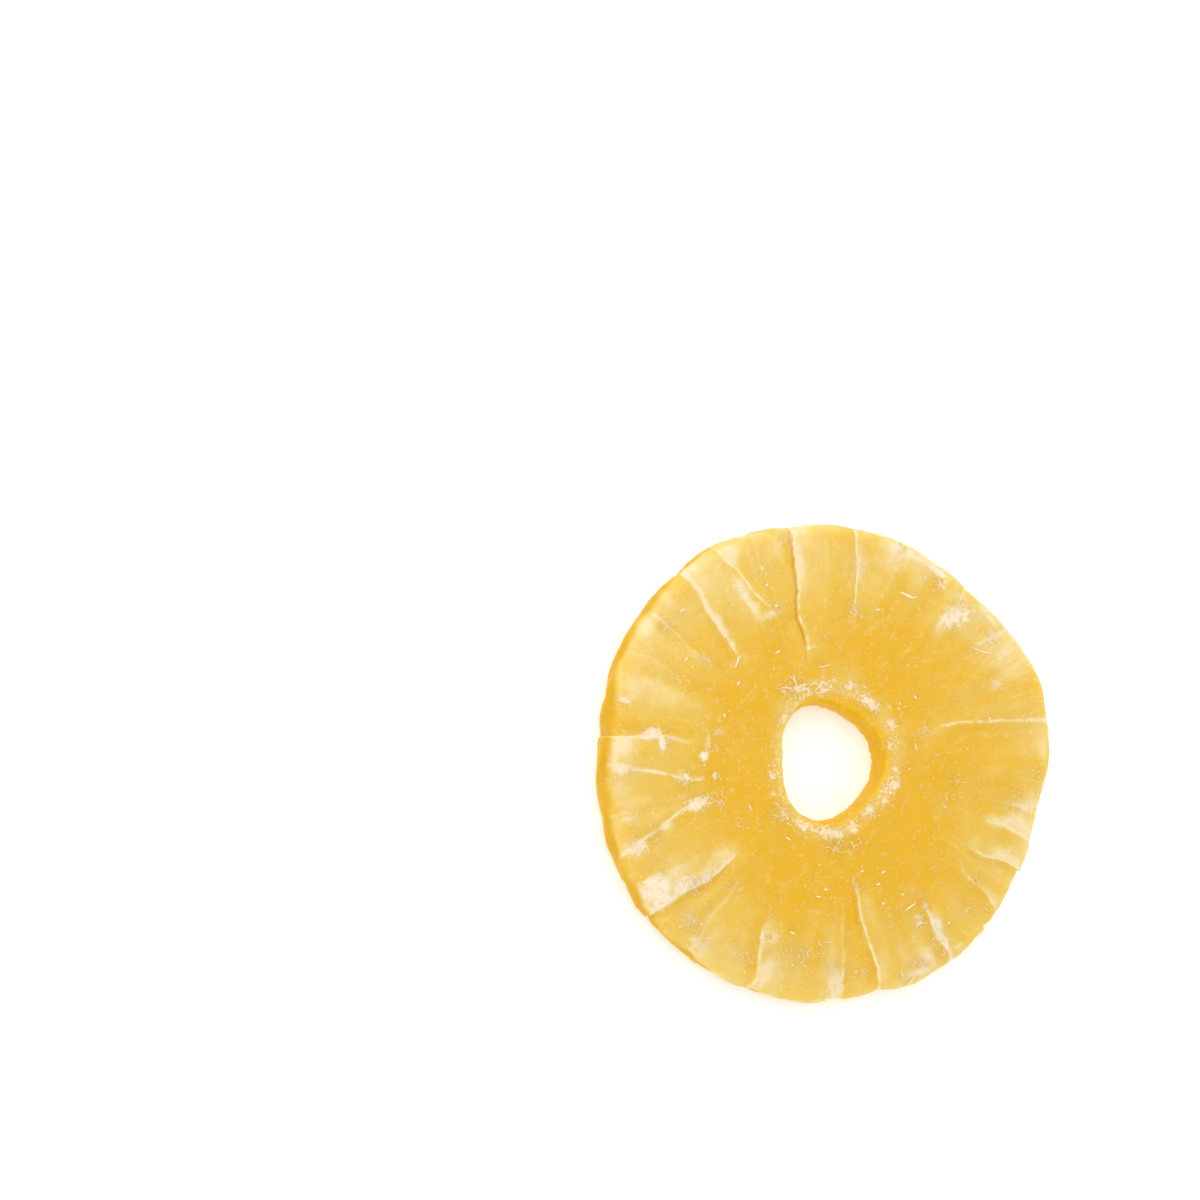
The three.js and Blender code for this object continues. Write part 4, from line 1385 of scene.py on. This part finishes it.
FRINGES = [  # a cleft's number, from and to how far out, teeth, their length
    (19, 26.5, 33, 16, 1.1),
    (17, 22.5, 26, 8, 0.9),
    (27, 28, 34, 10, 0.7),
]
TOOTH_STRAY = 0.12  # how far a tooth stands from its even place, in mm
TOOTH_TURN = 25  # and how far it turns from straight over the split, in degrees
TOOTH_LENGTHS = (0.5, 1.5)  # as shares of the length in the table
TOOTH_CURL = 60
TOOTH_WIDE = 0.08  # half of it

rows = list(FLAKES)
for which, start, end, teeth, long in FRINGES:
    for out in np.linspace(start, end, teeth) + chance.normal(0, TOOTH_STRAY, teeth):
        over_split = -90 * SIDE[which] + chance.normal(0, TOOTH_TURN)
        at = AT[which] + lean_of(which, out) + math.degrees(long * SIDE[which] / out)
        tooth_length = long * chance.uniform(*TOOTH_LENGTHS)
        tooth_curl = chance.normal(0, TOOTH_CURL)
        rows.append(flake(at, out, tooth_length, over_split, tooth_curl, TOOTH_WIDE))
print(len(FLAKES), "flakes and", len(rows) - len(FLAKES), "teeth in", len(FRINGES), "fringes")

# %% Lay them on the face
FLAKE_THICK = 0.045  # half of it
FLAKE_ARCH = 0.12
FLAKE_DRYNESS = 0.9
at, out, length, towards, curl, wide = np.array(rows).T[:, :, None]
pointing = at + towards + curl * along
arch = FLAKE_ARCH * chance.random((len(rows), 1))
start_x = out * cosine(at) - centre[0]
start_y = out * sine(at) - centre[1]
*laid, leans, kept = lay(start_x, start_y, length, pointing, arch, FLAKE_THICK, wide / FLAKE_THICK)
dryness = np.full(len(leans), FLAKE_DRYNESS)
flakes_made = mesh_object("curled_flakes", *laid, {"dry": dryness}, leans)

# %% [markdown]
# ## Sugar crumbs
# Crumbs of dry sugar, a tenth to a third of a millimetre across, are stuck to the face. They are
# many and tiny, so each is a jittered icosahedron of 20 triangles, half sunk in the flesh. There
# are more of them wherever the frost is.

# %% The shape of a crumb
GOLDEN = (1 + math.sqrt(5)) / 2
LONGEST_EDGE = 1.1  # corners that are further apart aren't neighbours
corner = [(-1, GOLDEN, 0), (1, GOLDEN, 0), (-1, -GOLDEN, 0), (1, -GOLDEN, 0)]
corner += [(z, x, y) for x, y, z in corner] + [(y, z, x) for x, y, z in corner]
crumb = np.array(corner) / math.hypot(1, GOLDEN)


def next_to(a, b):
    return np.linalg.norm(crumb[a] - crumb[b]) < LONGEST_EDGE


def faces_out(a, b, c):
    return np.dot(np.cross(crumb[b] - crumb[a], crumb[c] - crumb[a]), crumb[a]) > 0


threes = itertools.combinations(range(len(crumb)), 3)
threes = [(a, b, c) for a, b, c in threes if next_to(a, b) and next_to(b, c) and next_to(a, c)]
crumb_faces = [(a, b, c) if faces_out(a, b, c) else (a, c, b) for a, b, c in threes]
print("a crumb has", len(crumb), "corners and", len(crumb_faces), "triangles")

# %% Where the crumbs lie
CRUMB_COUNT = 1100
CRUMBS_ANYWHERE = 0.03  # how likely they are on any flesh,
CRUMBS_AT_MOUTH = 0.1  # and how much more round the mouth
CRUMBS_IN_FROST = 4  # and in frost
CRUMB_STRAY = 0.12  # how far one lies from the mesh's point that it was drawn at, in mm
LOWEST_CRUMB = FACE_HEIGHT - MOUTH_FALL - 1
frosty = CRUMBS_ANYWHERE + CRUMBS_AT_MOUTH * mouth + CRUMBS_IN_FROST * frost ** 2
sites = places_on_face(CRUMB_COUNT, frosty * (1 - hole_wall))[0]
sites = sites + chance.normal(0, CRUMB_STRAY, sites.shape) * (1, 1, 0)
sites[:, 2] = drop(sites[:, 0], sites[:, 1])
sites = sites[sites[:, 2] > LOWEST_CRUMB]
print(len(sites), "crumbs")

# %% The crumbs
CRUMB_SIZE = (0.06, 0.22)  # half of it, in mm
CRUMB_FLAT = 0.4  # their height, as a share of their width
CRUMB_UNEVEN = 0.25
CRUMB_UPRIGHT = 1.5  # how strongly their normals lean up, as light goes through sugar too
half_size = CRUMB_SIZE[0] + (CRUMB_SIZE[1] - CRUMB_SIZE[0]) * chance.random((len(sites), 1, 1)) ** 3
uneven = 1 + CRUMB_UNEVEN * chance.uniform(-1, 1, (len(sites), len(crumb), 3))
crumb_places = (sites[:, None] + half_size * uneven * crumb * (1, 1, CRUMB_FLAT)).reshape(-1, 3)
leaned_up = np.tile(crumb + (0, 0, CRUMB_UPRIGHT), (len(sites), 1))
first = len(crumb) * np.arange(len(sites))[:, None, None]
all_crumb_faces = (first + np.array(crumb_faces)).reshape(-1, 3).tolist()
dryness = np.repeat(chance.random(len(sites)), len(crumb))
crumb_places = np.clip(crumb_places, BOX_LOW, BOX_HIGH)
crumbs = mesh_object("sugar_crumbs", crumb_places, all_crumb_faces, {"dry": dryness}, leaned_up)

# %% [markdown]
# ## Dry fibre and dry sugar
# A pulled fibre is the same flesh with its syrup dried out, so it is cream, duller and lets less
# light in. Sugar is nearly white and sparkles a little, so it is smoother. Both vary from place
# to place by a soft noise, as the real ones do.

# %% The two materials
BLOTCH_SIZE = 1.2  # in mm
BLOTCHES_SHOW = 0.8  # from the darkest to the lightest


def dry_material(name, darker, lighter, roughness):
    made, tree = new_material(name)
    where = add(tree, "ShaderNodeTexCoord").outputs["Object"]
    blotches = {"Vector": where, "Scale": per_mm(BLOTCH_SIZE), "Detail": 3}
    blotches = add(tree, "ShaderNodeTexNoise", blotches)
    dry = add(tree, "ShaderNodeAttribute", attribute_name="dry").outputs["Fac"]
    either_way = {0: blotches, 1: BLOTCHES_SHOW, 2: -BLOTCHES_SHOW / 2}
    either_way = add(tree, "ShaderNodeMath", either_way, operation="MULTIPLY_ADD")
    share = {0: dry, 1: either_way}
    share = add(tree, "ShaderNodeMath", share, operation="ADD", use_clamp=True)
    blend = {"Factor": share, 6: colour(darker), 7: colour(lighter)}
    blend = add(tree, "ShaderNodeMix", blend, data_type="RGBA")
    surface = add(
        tree,
        "ShaderNodeBsdfPrincipled",
        {
            "Base Color": blend.outputs[2],
            "Roughness": roughness,
            "IOR": SYRUP_IOR,
            "Specular IOR Level": 0.25,  # its rough skin traps half of the gloss
        },
    )
    add(tree, "ShaderNodeOutputMaterial", {"Surface": surface})
    return made


fibre_material = dry_material("dry_fibre", "#F6CB62", "#FFEFCC", 0.6)
fibres_made.data.materials.append(fibre_material)
flakes_made.data.materials.append(fibre_material)
sugar_material = dry_material("dry_sugar", "#FBDC92", "#FFF6E4", 0.45)
crumbs.data.materials.append(sugar_material)
print("materials:", flesh_material.name, fibre_material.name, sugar_material.name)

# %% [markdown]
# ## Floor, light and camera
# The slice lies on a plain pale floor. One large soft light from the upper left and a bright even
# sky give the soft, nearly shadowless light of a product photograph. The camera stands where it
# would have to stand to see the slice as the photograph shows it.

# %% The floor
FLOOR_SIDE = 8000  # in mm, so wide that its edge is out of sight from low down too
BOARD_GLOW = 0.3  # the board is lit a little from beneath, as a light table is
half = FLOOR_SIDE / 2
corners = np.array([(-half, -half, 0), (half, -half, 0), (half, half, 0), (-half, half, 0)])
floor_mesh = bpy.data.meshes.new("floor")
floor_mesh.from_pydata((corners * MM).tolist(), [], [(0, 1, 2, 3)])
floor = bpy.data.objects.new("floor", floor_mesh)
bpy.context.scene.collection.objects.link(floor)
floor_material, tree = new_material("matt_white_board")
paint = add(
    tree,
    "ShaderNodeBsdfPrincipled",
    {
        "Base Color": colour("#F4F4F4"),
        "Roughness": 0.9,
        "Emission Color": (1, 1, 1, 1),
        "Emission Strength": BOARD_GLOW,
    },
)
add(tree, "ShaderNodeOutputMaterial", {"Surface": paint})
floor_mesh.materials.append(floor_material)
print("the floor is", FLOOR_SIDE, "mm wide")

# %% Lights
SKY_STRENGTH = 0.85
KEY_POWER = 0.34  # in watts: the softbox is near, and as small as the slice asks for
KEY_PLACE = (-75, 115, 320)  # in mm
KEY_SIDE = 280

world = bpy.data.worlds.new("studio")
world.use_nodes = True
world.node_tree.nodes["Background"].inputs["Color"].default_value = (1, 1, 1, 1)
world.node_tree.nodes["Background"].inputs["Strength"].default_value = SKY_STRENGTH
bpy.context.scene.world = world

key_data = bpy.data.lights.new("key_softbox", "AREA")
key_data.shape = "SQUARE"
key_data.size = KEY_SIDE * MM
key_data.energy = KEY_POWER
key = bpy.data.objects.new("key_softbox", key_data)
key.location = Vector(KEY_PLACE) * MM
key.rotation_mode = "QUATERNION"
key.rotation_quaternion = (-key.location).to_track_quat("-Z", "Y")
bpy.context.scene.collection.objects.link(key)
print("the softbox stands", round(math.hypot(*KEY_PLACE)), "mm away")

# %% Camera
CAMERA_PLACE = (-146.18, -31.83, 424.19)  # in mm, fitted to the outline in the photograph
CAMERA_TILT = (7.507, -14.336, 0)  # in degrees
CAMERA_LENS = 81
CAMERA_SENSOR = 36

camera_data = bpy.data.cameras.new("photo_camera")
camera_data.lens = CAMERA_LENS
camera_data.sensor_width = CAMERA_SENSOR
camera = bpy.data.objects.new("photo_camera", camera_data)
camera.location = Vector(CAMERA_PLACE) * MM
camera.rotation_euler = [math.radians(turn_by) for turn_by in CAMERA_TILT]
bpy.context.scene.collection.objects.link(camera)
bpy.context.scene.camera = camera
bpy.context.scene.view_settings.view_transform = "Standard"
print("the camera stands", round(math.hypot(*CAMERA_PLACE)), "mm away")
